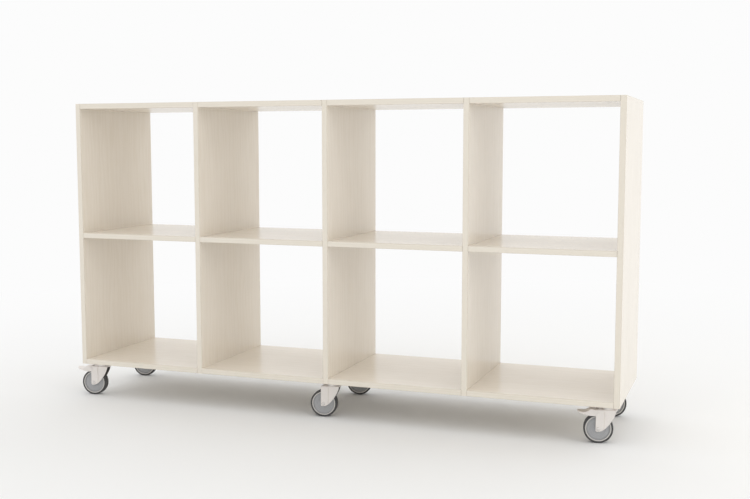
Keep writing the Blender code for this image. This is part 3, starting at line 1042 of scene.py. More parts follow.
@dataclass(frozen=True)
class CasterDatum:
    """Heights and reaches of a caster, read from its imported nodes, around its swivel axis."""

    axle: Vector
    wheel_radius: float
    tyre_half: float
    hub_half: float
    leg_left: float
    leg_bottom: float
    leg_outer: float
    nose: float
    crown_top: float
    plate_low: float
    plate_high: float
    plate_half: float
    dish_low: float

    @classmethod
    def read(cls, place: Place, station: Station, nodes: Nodes, dish: float) -> CasterDatum:
        """Read the caster at one place.

        Args:
            place: The place.
            station: Where it stands.
            nodes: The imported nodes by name.
            dish: How far the plate's dish is pressed down.

        Returns:
            Its measures.
        """
        kinds = ("tyre", "wheel_core", "fork")
        boxes = [station.box(nodes[f"{kind}_{place.value}"]) for kind in kinds]
        (tyre_low, tyre_high), (core_low, core_high), (fork_low, fork_high) = boxes
        plate_low, plate_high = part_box(f"caster_plate_{place.value}")
        return cls(
            axle=(tyre_low + tyre_high) / 2,
            wheel_radius=(tyre_high.z - tyre_low.z) / 2,
            tyre_half=(tyre_high.y - tyre_low.y) / 2,
            hub_half=(core_high.y - core_low.y) / 2,
            leg_left=fork_low.x,
            leg_bottom=fork_low.z,
            leg_outer=(fork_high.y - fork_low.y) / 2,
            nose=fork_high.x,
            crown_top=fork_high.z,
            plate_low=plate_low.z + dish,
            plate_high=plate_high.z,
            plate_half=(plate_high.x - plate_low.x) / 2,
            dish_low=plate_low.z,
        )


@dataclass
class Carcass:
    """The boards, with the cams that draw them tight."""

    bench: Workbench
    finish: PaleBoard
    steel: Material
    board_words: tuple[str, ...] = ("panel", "divider", "board", "shelf")
    upright_words: tuple[str, ...] = ("panel", "divider")
    first_seed: float = 1.7
    seed_step: float = 2.37
    cam_radius: float = 0.0073
    cam_depth: float = 0.0035
    cam_recess: float = 0.0003
    cam_edge: float = 0.0004
    cam_from_upright: float = 0.036
    cam_from_edge: float = 0.050
    slot_length: float = 0.0085
    slot_width: float = 0.0016
    slot_depth: float = 0.0022

    def dress_boards(self, nodes: Nodes) -> None:
        """Give each board its own cut of wood.

        Args:
            nodes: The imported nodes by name.
        """
        boards = [name for name in sorted(nodes) if any(word in name for word in self.board_words)]
        for number, name in enumerate(boards):
            grain = Grain.UPRIGHT if name.endswith(self.upright_words) else Grain.LEVEL
            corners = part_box(name) if grain is Grain.UPRIGHT else self._without_pegs(name)
            material = self.finish.material(name, grain, *corners, self.first_seed + self.seed_step * number)
            nodes[name].data.materials.clear()
            nodes[name].data.materials.append(material)
            LOG.info("%s: wood, %s grain", name, grain.value)

    def _without_pegs(self, name: str) -> tuple[Vector, Vector]:
        """A level board's corners without the pegs at its ends, which reach in by half its thickness.

        Args:
            name: The board's name.

        Returns:
            Its lowest and its highest corner.
        """
        low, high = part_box(name)
        shift = Vector(((high.z - low.z) / 2, 0, 0))
        return low + shift, high - shift

    def build_cams(self) -> None:
        """Set the cams into the undersides of the top and base boards."""
        cam = self._cam()
        for name in (f"{level}_board_{number}" for level in ("base", "top") for number in range(1, 5)):
            low, high = self._without_pegs(name)
            middle = (low + high) / 2
            reach = (high.x - low.x) / 2 - self.cam_from_upright
            side = (high.y - low.y) / 2 - self.cam_from_edge
            spots = [Vector((middle.x + a * reach, middle.y + b * side, low.z)) for a in SIDES for b in SIDES]
            group = self.bench.gather([self.bench.copy(cam, f"cams_{name}", spot) for spot in spots])
            Piece(group, "carcass", "steel", self.steel).install()
        bpy.data.objects.remove(cam)

    def _cam(self) -> Thing:
        """A cam's face: a low disc with a driver's cross in it.

        Returns:
            The cam, with the board's underside at height 0.
        """
        low, high, radius = self.cam_recess, self.cam_recess + self.cam_depth, self.cam_radius
        rim = [(radius - self.cam_edge, low), (radius, low + self.cam_edge), (radius, high)]
        cam = self.bench.turned([(0, low), *rim, (0, high)], Axis.Z, steps=40)
        cut = (low - self.cam_edge, low + self.slot_depth)
        self.bench.cut_cross(cam, self.slot_length, self.slot_width, *cut)
        self.bench.polish(cam)
        return cam


@dataclass
class CasterPart:
    """What a caster's sub-assembly is modelled with, around the swivel axis."""

    bench: Workbench
    datum: CasterDatum


@dataclass
class MountingPlate(CasterPart):
    """The plate that is screwed to the carcass, with a dish pressed down round the kingpin."""

    corner: float = 0.006
    edge: float = 0.0004
    dish_radius: float = 0.017
    dish_taper: float = 0.002
    dish_round: float = 0.0010
    dish_lift: float = 0.0002
    dish_run: float = 0.0032
    dish_root: float = 0.0017
    dish_steps: int = 6
    kingpin_hole: float = 0.0053
    screw_offset: float = 0.029
    screw_hole: float = 0.0024
    screw_play: float = 0.0002
    head_radius: float = 0.0042
    head_height: float = 0.0022
    dome_radius: float = 0.004
    cross_length: float = 0.0042
    cross_width: float = 0.0009
    cross_depth: float = 0.0013
    cross_start: float = 0.0005

    def plate(self) -> Thing:
        """Model the plate.

        Returns:
            The plate around the swivel axis.
        """
        bench, low, high = self.bench, self.datum.plate_low, self.datum.plate_high
        half, lowest = self.datum.plate_half, self.datum.dish_low
        outline = filleted([(a * half, b * half, self.corner) for a, b in SQUARE], steps=8)
        plate = bench.slab(outline, Axis.Z, low, high)
        inside = (low + high) / 2
        foot = self.dish_radius - self.dish_taper
        profile = [(0, lowest), (foot - self.dish_round, lowest)]
        for k in range(self.dish_steps + 1):
            share = k / self.dish_steps
            ease = share * share * (3 - 2 * share)
            profile.append((foot + share * self.dish_run, lowest + self.dish_lift + ease * (low - lowest)))
        profile += [(self.dish_radius + self.dish_root, inside), (0, inside)]
        bench.combine(plate, bench.turned(profile, Axis.Z, steps=72), "UNION")
        bench.bore(plate, Vector((0, 0, inside)), self.kingpin_hole, Axis.Z, high - lowest)
        for a, b in SQUARE:
            spot = Vector((a * self.screw_offset, b * self.screw_offset, inside))
            bench.bore(plate, spot, self.screw_hole, Axis.Z, high - lowest)
        bench.polish(plate, self.edge, angle=50.0)
        return plate

    def screws(self) -> Thing:
        """Model the heads of the four plate screws.

        Returns:
            The heads as one piece around the swivel axis.
        """
        top, shank = self.datum.plate_low, self.screw_hole - self.screw_play
        low = top - self.head_height
        dome = arc((0, low + self.dome_radius), self.dome_radius, -QUARTER, -math.pi / 6, steps=6)
        profile = [(radius * self.head_radius / dome[-1][0], height) for radius, height in dome]
        profile += [(self.head_radius, top), (shank, top)]
        profile += [(shank, self.datum.plate_high), (0, self.datum.plate_high)]
        head = self.bench.turned(profile, Axis.Z, steps=28)
        cut = (low - self.cross_start, low + self.cross_depth)
        self.bench.cut_cross(head, self.cross_length, self.cross_width, *cut)
        self.bench.polish(head)
        spots = [Vector((a * self.screw_offset, b * self.screw_offset, 0)) for a in SIDES for b in SIDES]
        heads = [self.bench.copy(head, "head", spot) for spot in spots]
        bpy.data.objects.remove(head)
        return self.bench.gather(heads)


@dataclass
class SwivelHead(CasterPart):
    """The kingpin, riveted over below the crown, and the two races that it holds together."""

    pin_radius: float = 0.005
    rivet_radius: float = 0.009
    rivet_height: float = 0.0028
    race_radius: float = 0.0147
    race_gap: float = 0.0004
    race_gap_depth: float = 0.0015
    race_round: float = 0.0007
    sheet: float = 0.0025

    def model(self) -> Thing:
        """Model the kingpin with its races.

        Returns:
            The piece around the swivel axis.
        """
        datum = self.datum
        rivet_top = datum.crown_top - self.sheet - SEAM
        low, high = datum.crown_top + SEAM, datum.dish_low - SEAM
        middle = (low + high) / 2
        dome = arc((0, rivet_top), self.rivet_radius, -QUARTER, 0, steps=8)
        squash = self.rivet_height / self.rivet_radius
        profile = [(radius, rivet_top + (height - rivet_top) * squash) for radius, height in dome]
        profile += [(self.pin_radius, rivet_top), (self.pin_radius, low)]
        inner = self.race_radius - self.race_round
        floor = inner - self.race_gap_depth
        below, above = middle - self.race_gap / 2, middle + self.race_gap / 2
        for bottom, top, gap in ((low, below, [(floor, below), (floor, above)]), (above, high, [])):
            profile += arc((inner, bottom + self.race_round), self.race_round, -QUARTER, 0, steps=4)
            profile += arc((inner, top - self.race_round), self.race_round, 0, QUARTER, steps=4)
            profile += gap
        profile += [(self.pin_radius, high), (self.pin_radius, datum.plate_high), (0, datum.plate_high)]
        head = self.bench.turned(profile, Axis.Z, steps=72)
        self.bench.polish(head)
        return head


@dataclass
class Fork(CasterPart):
    """The fork: one sheet, bent over the wheel, whose legs step out where they carry the axle."""

    sheet: float = 0.0025
    bend: float = 0.0026
    lip_drop: float = 0.004
    mouth_depth: float = 0.005
    mouth_corner: float = 0.002
    leg_width: float = 0.021
    leg_rear: float = 0.0215
    leg_corner: float = 0.0035
    level_reach: float = 0.023
    upright_reach: float = 0.0097
    gusset_outer: float = 0.0141
    step_run: float = 0.002
    step_round: float = 0.45
    groove_width: float = 0.0018
    groove_depth: float = 0.0009
    axle_hole: float = 0.0043
    pin_hole: float = 0.0023
    kingpin_hole: float = 0.0055
    edge: float = 0.00035
    spare: float = 0.004

    @property
    def throat_half(self) -> float:
        """Half the clear width between the gussets."""
        return self.gusset_outer - self.sheet

    @property
    def throat_top(self) -> float:
        """Where the painted shade ends below the crown."""
        return self.datum.crown_top - self.lip_drop - self.sheet / 2

    def model(self, pivot: Vector | None) -> Thing:
        """Model the fork.

        Args:
            pivot: The brake pedal's pivot, or None on a fork without a brake.

        Returns:
            The fork around the swivel axis.
        """
        bench, datum = self.bench, self.datum
        fork = self._bent_sheet()
        wide, over = datum.leg_outer + self.spare, datum.crown_top + self.spare
        bench.combine(fork, bench.slab(self._side_outline(), Axis.Y, -wide, wide), "INTERSECT")
        bench.combine(fork, bench.slab(self._plan_outline(), Axis.Z, 0, over), "INTERSECT")
        crown = Vector((0, 0, datum.crown_top - self.sheet / 2))
        bench.bore(fork, crown, self.kingpin_hole, Axis.Z, self.sheet)
        bench.bore(fork, datum.axle, self.axle_hole, Axis.Y, wide)
        if pivot:
            bench.bore(fork, pivot, self.pin_hole, Axis.Y, wide)
        for side in SIDES:
            bench.combine(fork, self._groove(side))
        bench.polish(fork, self.edge, angle=42.0)
        return fork

    def _groove(self, side: int) -> Thing:
        """A cutter for the pressed line at the foot of a leg's step.

        Args:
            side: 1 or -1 for the two legs.

        Returns:
            The cutter.
        """
        middle = self.datum.leg_left + self.leg_width + self.step_run
        half, proud = self.groove_width / 2, self.gusset_outer + self.spare
        floor = self.gusset_outer - self.groove_depth
        spread = half * (proud - floor) / self.groove_depth
        outline = [(middle, side * floor), (middle + spread, side * proud), (middle - spread, side * proud)]
        top = self.datum.crown_top - self.lip_drop - self.groove_depth
        return self.bench.slab(outline, Axis.Z, 0, top)

    def _bent_sheet(self) -> Thing:
        """Fold down a flat sheet's sides, draw them in behind the axle and give it its thickness.

        Returns:
            The sheet, before its outlines are cut.
        """
        datum, bench = self.datum, self.bench
        left, right = datum.leg_left - self.spare, datum.nose + self.spare
        sheet = bench.plane(1, ((left + right) / 2, 0, datum.crown_top))
        sheet.scale = (right - left, 2 * datum.leg_outer, 1)
        bpy.ops.object.transform_apply(location=True, rotation=False, scale=True)
        crease = datum.leg_left + self.leg_width
        step = crease + self.step_run
        with bench.editing(sheet):
            for place in (crease, step):
                bpy.ops.mesh.select_all(action="SELECT")
                bpy.ops.mesh.bisect(plane_co=(place, 0, 0), plane_no=(1, 0, 0))
            drop = Vector((0, 0, self.spare - datum.crown_top))
            rim = datum.leg_outer - MERGE
            for side in SIDES:
                bench.choose(sheet, lambda v, side=side: v.co.y * side > rim and v.co.z > self.spare)
                bpy.ops.mesh.extrude_region_move(TRANSFORM_OT_translate={"value": drop})
            bench.choose(sheet, lambda v: v.co.x > step - MERGE)
            narrow = (1, self.gusset_outer / datum.leg_outer, 1)
            bpy.ops.transform.resize(value=narrow, center_override=(0, 0, 0))
            bench.choose(sheet, lambda v: v.co.z > datum.crown_top - MERGE)
            bench.keep_edges(sheet, lambda edge: edge.calc_face_angle() > QUARTER / 2)
            bpy.ops.mesh.bevel(offset=self.bend, segments=8, affect="EDGES")
            bench.choose(sheet, lambda v: crease - MERGE < v.co.x < step + MERGE)
            bench.keep_edges(sheet, lambda edge: abs(edge.verts[0].co.x - edge.verts[1].co.x) < MERGE)
            bpy.ops.mesh.bevel(offset=self.step_run * self.step_round, segments=3, affect="EDGES")
            bench.face_outwards()
        bench.thicken(sheet, self.sheet)
        return sheet

    def _side_outline(self) -> list[Flat]:
        """The fork's side view: a small rounding before the axle, and one long curve behind it.

        Returns:
            The outline as (x, z).
        """
        datum = self.datum
        corner = (datum.leg_left + self.leg_corner, datum.leg_bottom + self.leg_corner)
        end = arc(corner, self.leg_corner, math.pi, 1.5 * math.pi, steps=8)
        lip = datum.crown_top - self.lip_drop
        foot, head = Vector((datum.axle.x, datum.leg_bottom)), Vector((self.leg_rear, lip))
        level, upright = Vector((self.level_reach, 0)), Vector((0, self.upright_reach))
        rear = swept(foot, foot + level, head - upright, head, steps=28)
        over, nose = datum.crown_top + self.spare, datum.nose + self.spare
        return [(datum.leg_left, over), *end, *rear, (nose, lip), (nose, over)]

    def _plan_outline(self) -> list[Flat]:
        """The fork from above: a round nose round the swivel axis, and a shallow mouth between its legs.

        Returns:
            The outline as (x, y).
        """
        datum = self.datum
        nose = arc((0, 0), datum.nose, -QUARTER, QUARTER, steps=32)
        over, floor = datum.leg_left - 2 * self.spare, datum.leg_left + self.mouth_depth
        half, corner = datum.leg_outer - self.sheet - self.mouth_corner / 2, self.mouth_corner
        corners = [(over, half, 0), (floor, half, corner), (floor, -half, corner), (over, -half, 0)]
        return [*nose, (over, datum.nose), *filleted(corners, steps=5), (over, -datum.nose)]


@dataclass
class Wheel(CasterPart):
    """Core, tyre and the axle bolt with its nut."""

    tyre_thickness: float = 0.0050
    bore: float = 0.0043
    bore_edge: float = 0.0004
    hub_radius: float = 0.010
    hub_round: float = 0.0006
    root_gap: float = 0.0010
    root_round: float = 0.0014
    disc_depth: float = 0.0036
    ring_radius: float = 0.0205
    ring_width: float = 0.0028
    ring_height: float = 0.0005
    ring_slope: float = 0.0005
    lip_width: float = 0.0028
    lip_inset: float = 0.0006
    lip_lean: float = 0.0003
    lip_start: float = math.pi * 0.95
    lip_inner_round: float = 0.0005
    lip_outer_round: float = 0.0004
    groove_width: float = 0.0022
    groove_depth: float = 0.0007
    groove_slope: float = 0.0006
    groove_gap: float = 0.0008
    bead: tuple[Flat, ...] = ((0.0, 0.0006), (0.0006, 0.0002), (0.0016, 0.0))
    shoulder: float = 0.0014
    crown_fall: float = 0.0003
    crown_steps: int = 6
    mould_line: float = 0.00012
    mould_foot: float = 0.0003
    mould_ridge: float = 0.0001
    axle_radius: float = 0.004
    axle_end: float = 0.0006
    head_radius: float = 0.0055
    head_height: float = 0.0015
    head_flat: float = 0.62
    head_round: float = 0.0016
    head_last: float = -0.12
    nut_radius: float = 0.0065
    nut_height: float = 0.0045
    nut_round: float = 0.93
    nut_drop: float = 0.0012
    nut_spare: float = 0.001
    nut_play: float = 0.0001
    nut_edge: float = 0.0002

    @property
    def lip_radius(self) -> float:
        """Where the core's lip begins, just inside the tyre."""
        return self.datum.wheel_radius - self.tyre_thickness - SEAM - self.lip_width

    def core(self) -> Thing:
        """Model the wheel's core.

        Returns:
            The core around the swivel axis's frame.
        """
        hub, lip_inner = self.datum.hub_half, self.lip_radius
        rim = lip_inner + self.lip_width
        disc, lip_face = self.datum.tyre_half - self.disc_depth, self.datum.tyre_half - self.lip_inset
        half = [(self.bore, hub - self.bore_edge), (self.bore + self.bore_edge, hub)]
        root, turn = self.hub_radius, self.hub_round
        half += arc((root - turn, hub - turn), turn, QUARTER, 0, steps=4)
        root, turn = root + self.root_gap, self.root_round
        half += arc((root + turn, disc + turn), turn, math.pi, 1.5 * math.pi, steps=5)
        low, high = self.ring_radius - self.ring_width / 2, self.ring_radius + self.ring_width / 2
        ring = disc + self.ring_height
        half += [(low, disc), (low + self.ring_slope, ring), (high - self.ring_slope, ring), (high, disc)]
        floor, groove, turn = disc - self.groove_depth, lip_inner - self.groove_width, self.groove_slope
        half += [(groove - turn, disc), (groove, floor)]
        half += arc((lip_inner - self.groove_gap, floor + turn), turn, 1.5 * math.pi, 2 * math.pi, steps=4)
        turn = self.lip_inner_round
        half += arc((lip_inner + self.lip_lean, lip_face - turn), turn, self.lip_start, QUARTER, steps=3)
        turn = self.lip_outer_round
        half += arc((rim - turn, lip_face - turn), turn, QUARTER, 0, steps=3)
        core = self.bench.turned(mirrored(half), Axis.Y, steps=96, centre=self.datum.axle, ring=True)
        self.bench.polish(core, angle=30.0)
        return core

    def tyre(self) -> Thing:
        """Model the tyre.

        Returns:
            The tyre around the swivel axis's frame.
        """
        outer, side, turn = self.datum.wheel_radius, self.datum.tyre_half, self.shoulder
        inner, edge, tread = outer - self.tyre_thickness, outer - self.crown_fall, side - turn
        half = [(inner + out, side - back) for out, back in self.bead]
        half += arc((edge - turn, tread), turn, QUARTER, 0, steps=9)
        for k in range(1, self.crown_steps):
            share = 1 - k / self.crown_steps
            half.append((outer - self.mould_line - self.crown_fall * share * share, tread * share))
        half += [(outer - self.mould_line, self.mould_foot), (outer, self.mould_ridge)]
        tyre = self.bench.turned(mirrored(half), Axis.Y, steps=120, centre=self.datum.axle, ring=True)
        self.bench.polish(tyre, angle=40.0)
        return tyre

    def axle(self) -> Thing:
        """Model the axle bolt with its nut.

        Returns:
            Both as one piece around the swivel axis's frame.
        """
        bench, axle, radius = self.bench, self.datum.axle, self.axle_radius
        face = self.datum.leg_outer + SEAM
        rear = face + self.nut_height
        flat, turn = self.head_radius * self.head_flat, self.head_round
        crown = arc((flat, -face - self.head_height + turn), turn, -QUARTER, self.head_last, steps=6)
        scale = (self.head_radius - flat) / turn
        profile = [(0, -face - self.head_height)]
        profile += [(flat + (reach - flat) * scale, along) for reach, along in crown]
        profile += [(self.head_radius, -face), (radius, -face), (radius, rear - SEAM)]
        profile += [(radius - self.axle_end, rear + SEAM), (0, rear + SEAM)]
        bolt = bench.turned(profile, Axis.Y, steps=56, centre=axle)
        hexagon = arc((axle.x, axle.z), self.nut_radius, math.pi / 6, math.pi / 6 + math.tau, steps=6)[:-1]
        nut = bench.slab(hexagon, Axis.Y, face, rear)
        wide, front = self.nut_radius + self.nut_spare, face - self.nut_spare
        rim = [(0, front), (wide, front), (wide, rear - self.nut_drop)]
        rim += [(self.nut_radius * self.nut_round, rear), (0, rear)]
        centre = Vector((axle.x, 0, axle.z))
        bench.combine(nut, bench.turned(rim, Axis.Y, steps=56, centre=centre), "INTERSECT")
        centre = Vector((axle.x, (face + rear) / 2, axle.z))
        bench.bore(nut, centre, radius + self.nut_play, Axis.Y, self.nut_height)
        bench.polish(bolt)
        bench.polish(nut, self.nut_edge, angle=30.0)
        return bench.gather([bolt, nut])


@dataclass
class Brake(CasterPart):
    """The foot pedal, a pressed channel whose shoe bears on the tyre, and the pin that it turns on."""

    pivot_inset: float = 0.007
    pivot_height: float = 0.0855
    free_length: float = 0.0493
    root_half: float = 0.0125
    full_half: float = 0.0165
    sheet: float = 0.0013
    fold: float = 0.0022
    fold_share: float = 0.6
    crown: float = 0.0002
    rise: float = 0.008
    drop: float = 0.0055
    pin_radius: float = 0.002
    pin_head: float = 0.0028
    pin_dome: float = 0.0006
    pin_angles: tuple[float, ...] = (0, 0.4, 0.8, 1.2)
    shoe_from_pivot: float = 0.015
    shoe_length: float = 0.006
    shoe_rise: float = 1.1
    shoe_steps: int = 6
    tyre_facets: int = 20
    travel: float = math.radians(12)
    lean_end: float = 0.05
    flange_reach: float = 0.003
    flange_root: float = 0.004
    flange_top: float = 0.0035
    flange_corner: float = 0.002
    skin_edge: float = 0.00025
    shoe_edge: float = 0.0004
    section_shares: tuple[tuple[float, float, float, float], ...] = (
        (-0.220, 0.48, -0.55, 0.00),
        (0.000, 0.52, -0.80, 0.00),
        (0.010, 0.95, -1.72, 1.00),
        (0.058, 1.00, -1.76, 1.00),
        (0.110, 1.10, -1.80, 1.00),
        (0.200, 1.16, -1.83, 1.00),
        (0.270, 1.16, -1.81, 1.00),
        (0.312, 1.06, -1.77, 1.00),
        (0.348, 0.86, -1.71, 1.00),
        (0.385, 0.66, -1.63, 1.00),
        (0.425, 0.50, -1.54, 1.00),
        (0.475, 0.34, -1.40, 1.00),
        (0.540, 0.18, -1.22, 1.00),
        (0.610, 0.07, -1.02, 1.00),
        (0.690, 0.03, -0.80, 1.00),
        (0.770, 0.08, -0.58, 0.90),
        (0.840, 0.16, -0.42, 0.60),
        (0.900, 0.24, -0.26, 0.05),
        (0.950, 0.30, -0.10, -0.80),
        (0.985, 0.33, 0.02, -1.70),
        (1.000, 0.31, 0.10, -2.30),
    )

    @property
    def pivot(self) -> Vector:
        """The middle of the pin."""
        return Vector((self.datum.leg_left + self.pivot_inset, 0, self.pivot_height))

    def _section(self, along: float, top: float, bottom: float, widening: float) -> list[Vector]:
        """A section of the pedal's outer skin, an arch that is open below.

        Args:
            along: Its place, as a share of the free length.
            top: Its top above the pivot, as a share of the rise.
            bottom: Its lower edges above the pivot, as a share of the drop.
            widening: Its half width, from 0 at the root to 1 at the full width.

        Returns:
            The section's points.
        """
        x = self.datum.leg_left - SEAM - along * self.free_length
        half = self.root_half + widening * (self.full_half - self.root_half)
        high = self.pivot_height + top * self.rise
        low = self.pivot_height + bottom * self.drop
        fold = min(self.fold, (high - low) * self.fold_share)
        side = [(half, low), (half, (low + high - fold) / 2)]
        side += arc((half - fold, high - fold), fold, 0, QUARTER, steps=5)
        side += [((half - fold) * 0.5, high + self.crown)]
        whole = side + [(-y, z) for y, z in reversed(side)]
        lean = math.tan(self.travel) if 0 <= along < self.lean_end else 0.0
        return [Vector((x - lean * max(0.0, self.pivot_height - z), y, z)) for y, z in whole]

    def _flange(self, side: int) -> Thing:
        """The end of a wall, which laps over the outside of the fork's leg.

        Args:
            side: 1 or -1 for the two walls.

        Returns:
            The lapping plate.
        """
        low = self.pivot_height + self.section_shares[2][2] * self.drop
        high, corner = self.pivot_height + self.flange_top, self.flange_corner
        left, right = self.datum.leg_left - self.flange_root, self.datum.leg_left + self.flange_reach
        corners = [(left, low, 0), (right, low, corner), (right, high, corner), (left, high, 0)]
        faces = sorted((side * (self.datum.leg_outer + SEAM), side * self.full_half))
        return self.bench.slab(filleted(corners, steps=5), Axis.Y, *faces)

    def pedal(self) -> Thing:
        """Model the pedal with its shoe.

        Returns:
            The pedal around the swivel axis's frame.
        """
        bench = self.bench
        chains = [self._section(*row) for row in self.section_shares]
        skin = bench.bridged(chains)
        tip = min(point.x for point in chains[-1])
        with bench.editing(skin):
            bench.choose(skin, lambda v: v.co.x < tip + MERGE)
            bpy.ops.mesh.edge_face_add()
            bench.face_outwards()
        bench.thicken(skin, self.sheet)
        for side in SIDES:
            bench.combine(skin, self._flange(side), "UNION")
        bench.bore(skin, self.pivot, self.pin_radius + SEAM / 2, Axis.Y, self.datum.leg_outer)
        bench.polish(skin, self.skin_edge, angle=38.0)
        half = self.root_half - self.sheet
        shoe = bench.slab(self._shoe_outline(), Axis.Y, -half, half)
        bench.polish(shoe, self.shoe_edge, angle=38.0)
        return bench.gather([skin, shoe])

    def _shoe_outline(self) -> list[Flat]:
        """The shoe from the side, with an underside that fits the tyre when the pedal is down.

        Returns:
            The outline as (x, z).
        """
        away, pivot = self.datum.axle - self.pivot, self.pivot
        wheel_x = away.x * math.cos(self.travel) + away.z * math.sin(self.travel)
        wheel_z = away.z * math.cos(self.travel) - away.x * math.sin(self.travel)
        reach = self.datum.wheel_radius / math.cos(math.pi / self.tyre_facets) + SEAM
        under = []
        for k in range(self.shoe_steps + 1):
            x = -self.shoe_from_pivot + (k / self.shoe_steps - 0.5) * self.shoe_length
            under.append((pivot.x + x, pivot.z + wheel_z + math.sqrt(reach ** 2 - (x - wheel_x) ** 2)))
        top = pivot.z + self.rise * self.shoe_rise - self.sheet / 2
        return [*under, (under[-1][0], top), (under[0][0], top)]

    def pin(self) -> Thing:
        """Model the pin, with a low dome on each end.

        Returns:
            The pin around the swivel axis's frame.
        """
        end = self.datum.leg_outer
        dome = [(self.pin_head * math.cos(t), end + self.pin_dome * math.sin(t)) for t in self.pin_angles]
        half = [(0, end + self.pin_dome), *reversed(dome), (self.pin_radius, end)]
        pin = self.bench.turned(mirrored(half), Axis.Y, steps=32, centre=self.pivot)
        self.bench.polish(pin)
        return pin


@dataclass
class CasterSet:
    """All six casters, each copied from the same models."""

    bench: Workbench
    finish: ZincSheet
    steel: Material
    plastic: WheelPlastic
    rubber: TyreRubber
    dish_height: float = 0.0051
    # Near-white tones for the races: painted light that lifts them in the shade under the plate.
    painted_light_race_bright: Tone = Tone(254, 251, 248)
    painted_light_race_dull: Tone = Tone(249, 246, 242)
    tread_inset: float = 0.0006

    def build(self, nodes: Nodes, joints: Joints) -> None:
        """Model each piece once and set a copy at each place.

        Args:
            nodes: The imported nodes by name.
            joints: The joints of the whole shelf.
        """
        first = Place.FRONT_LEFT
        datum = CasterDatum.read(first, Station.of(first, joints), nodes, self.dish_height)
        kinds = (MountingPlate, SwivelHead, Brake, Wheel, Fork)
        plate, head, brake, wheel, fork = (kind(self.bench, datum) for kind in kinds)
        # The races take a lighter copy of the zinc, as painted light.
        races = replace(self.finish, bright=self.painted_light_race_bright, dull=self.painted_light_race_dull)
        metals = {name: kind.material(name) for name, kind in (("sheet", self.finish), ("races", races))}
        metals["steel"] = self.steel
        models = {
            "mounting_plate": plate.plate(),
            "plate_screws": plate.screws(),
            "swivel_head": head.model(),
            "plain_fork": fork.model(None),
            "braked_fork": fork.model(brake.pivot),
            "axle_bolt": wheel.axle(),
            "wheel_body": wheel.core(),
            "tyre_ring": wheel.tyre(),
            "foot_pedal": brake.pedal(),
            "pedal_pin": brake.pin(),
        }
        for place in Place:
            station = Station.of(place, joints)
            finishes = metals | self._own_finishes(place, station, wheel, fork)
            self._set_down(place, station, finishes, models)
        for model in models.values():
            bpy.data.objects.remove(model)

    def _own_finishes(self, place: Place, station: Station, wheel: Wheel, fork: Fork) -> dict[str, Material]:
        """Make the finishes whose patterns follow one caster.

        Args:
            place: The place.
            station: Where the caster stands.
            wheel: The wheel's sizes.
            fork: The fork's sizes.

        Returns:
            The materials by name.
        """
        turn = station.turn
        centre = station.spot + Matrix.Rotation(turn, 3, "Z") @ wheel.datum.axle
        tread = wheel.datum.wheel_radius - self.tread_inset
        throat = Throat(station.spot, turn, fork.throat_half, fork.throat_top)
        return {
            "plastic": self.plastic.material(place.value, centre, turn, wheel.lip_radius),
            "rubber": self.rubber.material(place.value, centre, turn, tread),
            "dusty": self.finish.material(f"fork_{place.value}", throat),
        }

    def _set_down(
        self, place: Place, station: Station, finishes: Mapping[str, Material], models: Mapping[str, Thing]
    ) -> None:
        """Copy the models to one place and hand the copies over.

        Args:
            place: The place.
            station: Where the caster stands.
            finishes: The materials by name.
            models: The models by name.
        """
        where = place.value
        swivel, wheel = f"swivel_{where}", f"wheel_{where}"
        fork = "braked_fork" if place.braked else "plain_fork"
        rows = [
            ("mounting_plate", "carcass", "zinc", "sheet", f"caster_plate_{where}"),
            ("plate_screws", "carcass", "steel", "steel", None),
            ("swivel_head", "carcass", "zinc", "races", f"kingpin_{where}"),
            (fork, swivel, "zinc", "dusty", f"fork_{where}"),
            ("axle_bolt", swivel, "steel", "steel", f"axle_{where}"),
            ("wheel_body", wheel, "wheel_plastic", "plastic", f"wheel_core_{where}"),
            ("tyre_ring", wheel, "tyre_rubber", "rubber", f"tyre_{where}"),
        ]
        if place.braked:
            rows += [
                ("foot_pedal", f"pedal_{where}", "zinc", "sheet", f"brake_pedal_{where}"),
                ("pedal_pin", swivel, "zinc", "sheet", f"brake_pin_{where}"),
            ]
        for model, body, slot, finish, node in rows:
            angle = 0.0 if body == "carcass" else station.turn
            copy = self.bench.copy(models[model], f"{model}_{where}", station.spot, angle)
            Piece(copy, body, slot, finishes[finish], (node,) if node else ()).install()


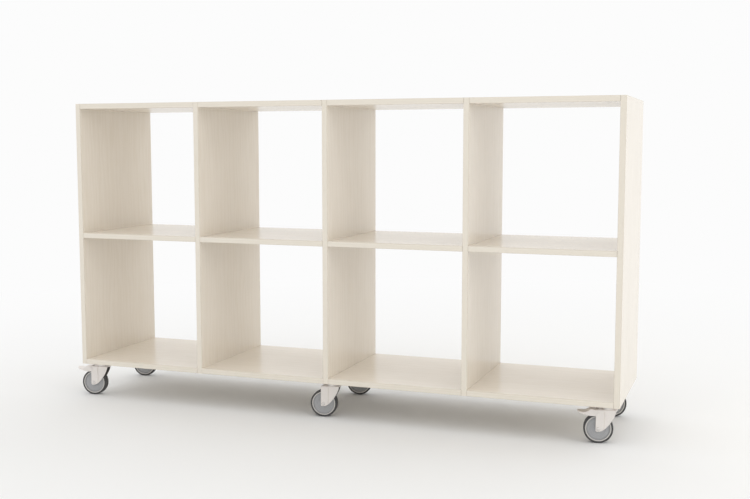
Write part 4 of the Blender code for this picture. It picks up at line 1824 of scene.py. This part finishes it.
@dataclass
class Studio:
    """Pale floor, even sky, one soft lamp and the camera at the photograph's angle."""

    bench: Workbench
    camera_place: Spot = (1.188477, -2.944, 0.798)
    camera_turn: Spot = (math.radians(84.322), 0.0, math.radians(20.260))
    lens: float = 50.0
    sensor: float = 36.0
    floor_size: float = 60.0
    backdrop: Tone = Tone(252, 252, 252)
    floor_tone: Tone = Tone(239, 240, 241)
    fade_middle: Spot = (0.45, -0.35, 0)
    fade_span: Flat = (0.9, 3.6)
    sky_front: float = 0.56
    sky_back: float = 1.02
    sky_top: float = 1.18
    sky_tone: Tone = Tone(255, 254, 252)
    behind_span: Flat = (-0.6, 0.8)
    height_span: Flat = (0.1, 0.9)
    lamp_tone: Tone = Tone(255, 251, 243)
    lamp_place: Spot = (4.8, -1.2, 2.1)
    lamp_target: Spot = (0, 0, 0.5)
    lamp_size: float = 2.6
    lamp_power: float = 31.0

    def build(self) -> None:
        """Set up the whole studio."""
        self._floor()
        self._sky()
        self._lamp()
        self._camera()

    def _floor(self) -> None:
        """Lay the floor, which fades into the backdrop."""
        floor = self.bench.plane(self.floor_size, ORIGIN)
        floor.name = "floor"
        sheet = NodeSheet(bpy.data.materials.new("studio_floor"))
        x, y, _ = sheet.split(sheet.point(self.fade_middle))
        fade = ((x * x + y * y) ** 0.5).rise(*self.fade_span)
        diffuse = sheet.node("ShaderNodeBsdfDiffuse", sockets={"Color": self.floor_tone})
        glow = sheet.node("ShaderNodeEmission", sockets={"Color": self.backdrop, "Strength": 1.0})
        share = fade * sheet.in_view()
        mixed = sheet.node("ShaderNodeMixShader", sockets={0: share, 1: diffuse, 2: glow})
        floor.data.materials.append(sheet.close(mixed))

    def _sky(self) -> None:
        """Light the room from all sides, more from above, with the backdrop's colour where it is seen."""
        world = bpy.context.scene.world = bpy.data.worlds.new("studio")
        sheet = NodeSheet(world)
        _, behind, up = sheet.split(sheet.node("ShaderNodeTexCoord", output="Generated"))
        level = self.sky_front + (self.sky_back - self.sky_front) * behind.rise(*self.behind_span)
        height = up.rise(*self.height_span)
        strength = level * (1 - height) + self.sky_top * height
        shown, sky = (
            sheet.node("ShaderNodeBackground", sockets={"Color": tone, "Strength": power})
            for tone, power in ((self.backdrop, 1.0), (self.sky_tone, strength))
        )
        mixed = sheet.node("ShaderNodeMixShader", sockets={0: sheet.in_view(), 1: sky, 2: shown})
        sheet.close(mixed, "World")

    def _lamp(self) -> None:
        """Hang a square soft lamp over the right end."""
        bpy.ops.object.light_add(type="AREA", location=self.lamp_place)
        lamp = bpy.context.object
        lamp.name = "key_lamp"
        way = Vector(self.lamp_target) - Vector(self.lamp_place)
        lamp.rotation_euler = way.to_track_quat("-Z", "Y").to_euler()
        lamp.data.size = self.lamp_size
        lamp.data.energy = self.lamp_power
        lamp.data.color = self.lamp_tone.linear[:3]

    def _camera(self) -> None:
        """Set up the camera."""
        bpy.ops.object.camera_add(location=self.camera_place, rotation=self.camera_turn)
        camera = bpy.context.object
        camera.name = "camera"
        camera.data.lens = self.lens
        camera.data.sensor_width = self.sensor
        camera.data.sensor_fit = "HORIZONTAL"
        bpy.context.scene.camera = camera
        bpy.context.scene.view_settings.view_transform = "Standard"


def main() -> None:
    """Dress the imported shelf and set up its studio."""
    logging.basicConfig(level=logging.INFO, format="%(message)s")
    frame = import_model()
    bench = Workbench()
    steel = BrightSteel().material()
    carcass = Carcass(bench, PaleBoard(), steel)
    carcass.dress_boards(frame["nodes"])
    carcass.build_cams()
    casters = CasterSet(bench, ZincSheet(), steel, WheelPlastic(), TyreRubber())
    casters.build(frame["nodes"], frame["joints"])
    Studio(bench).build()


if __name__ == "__main__":
    main()
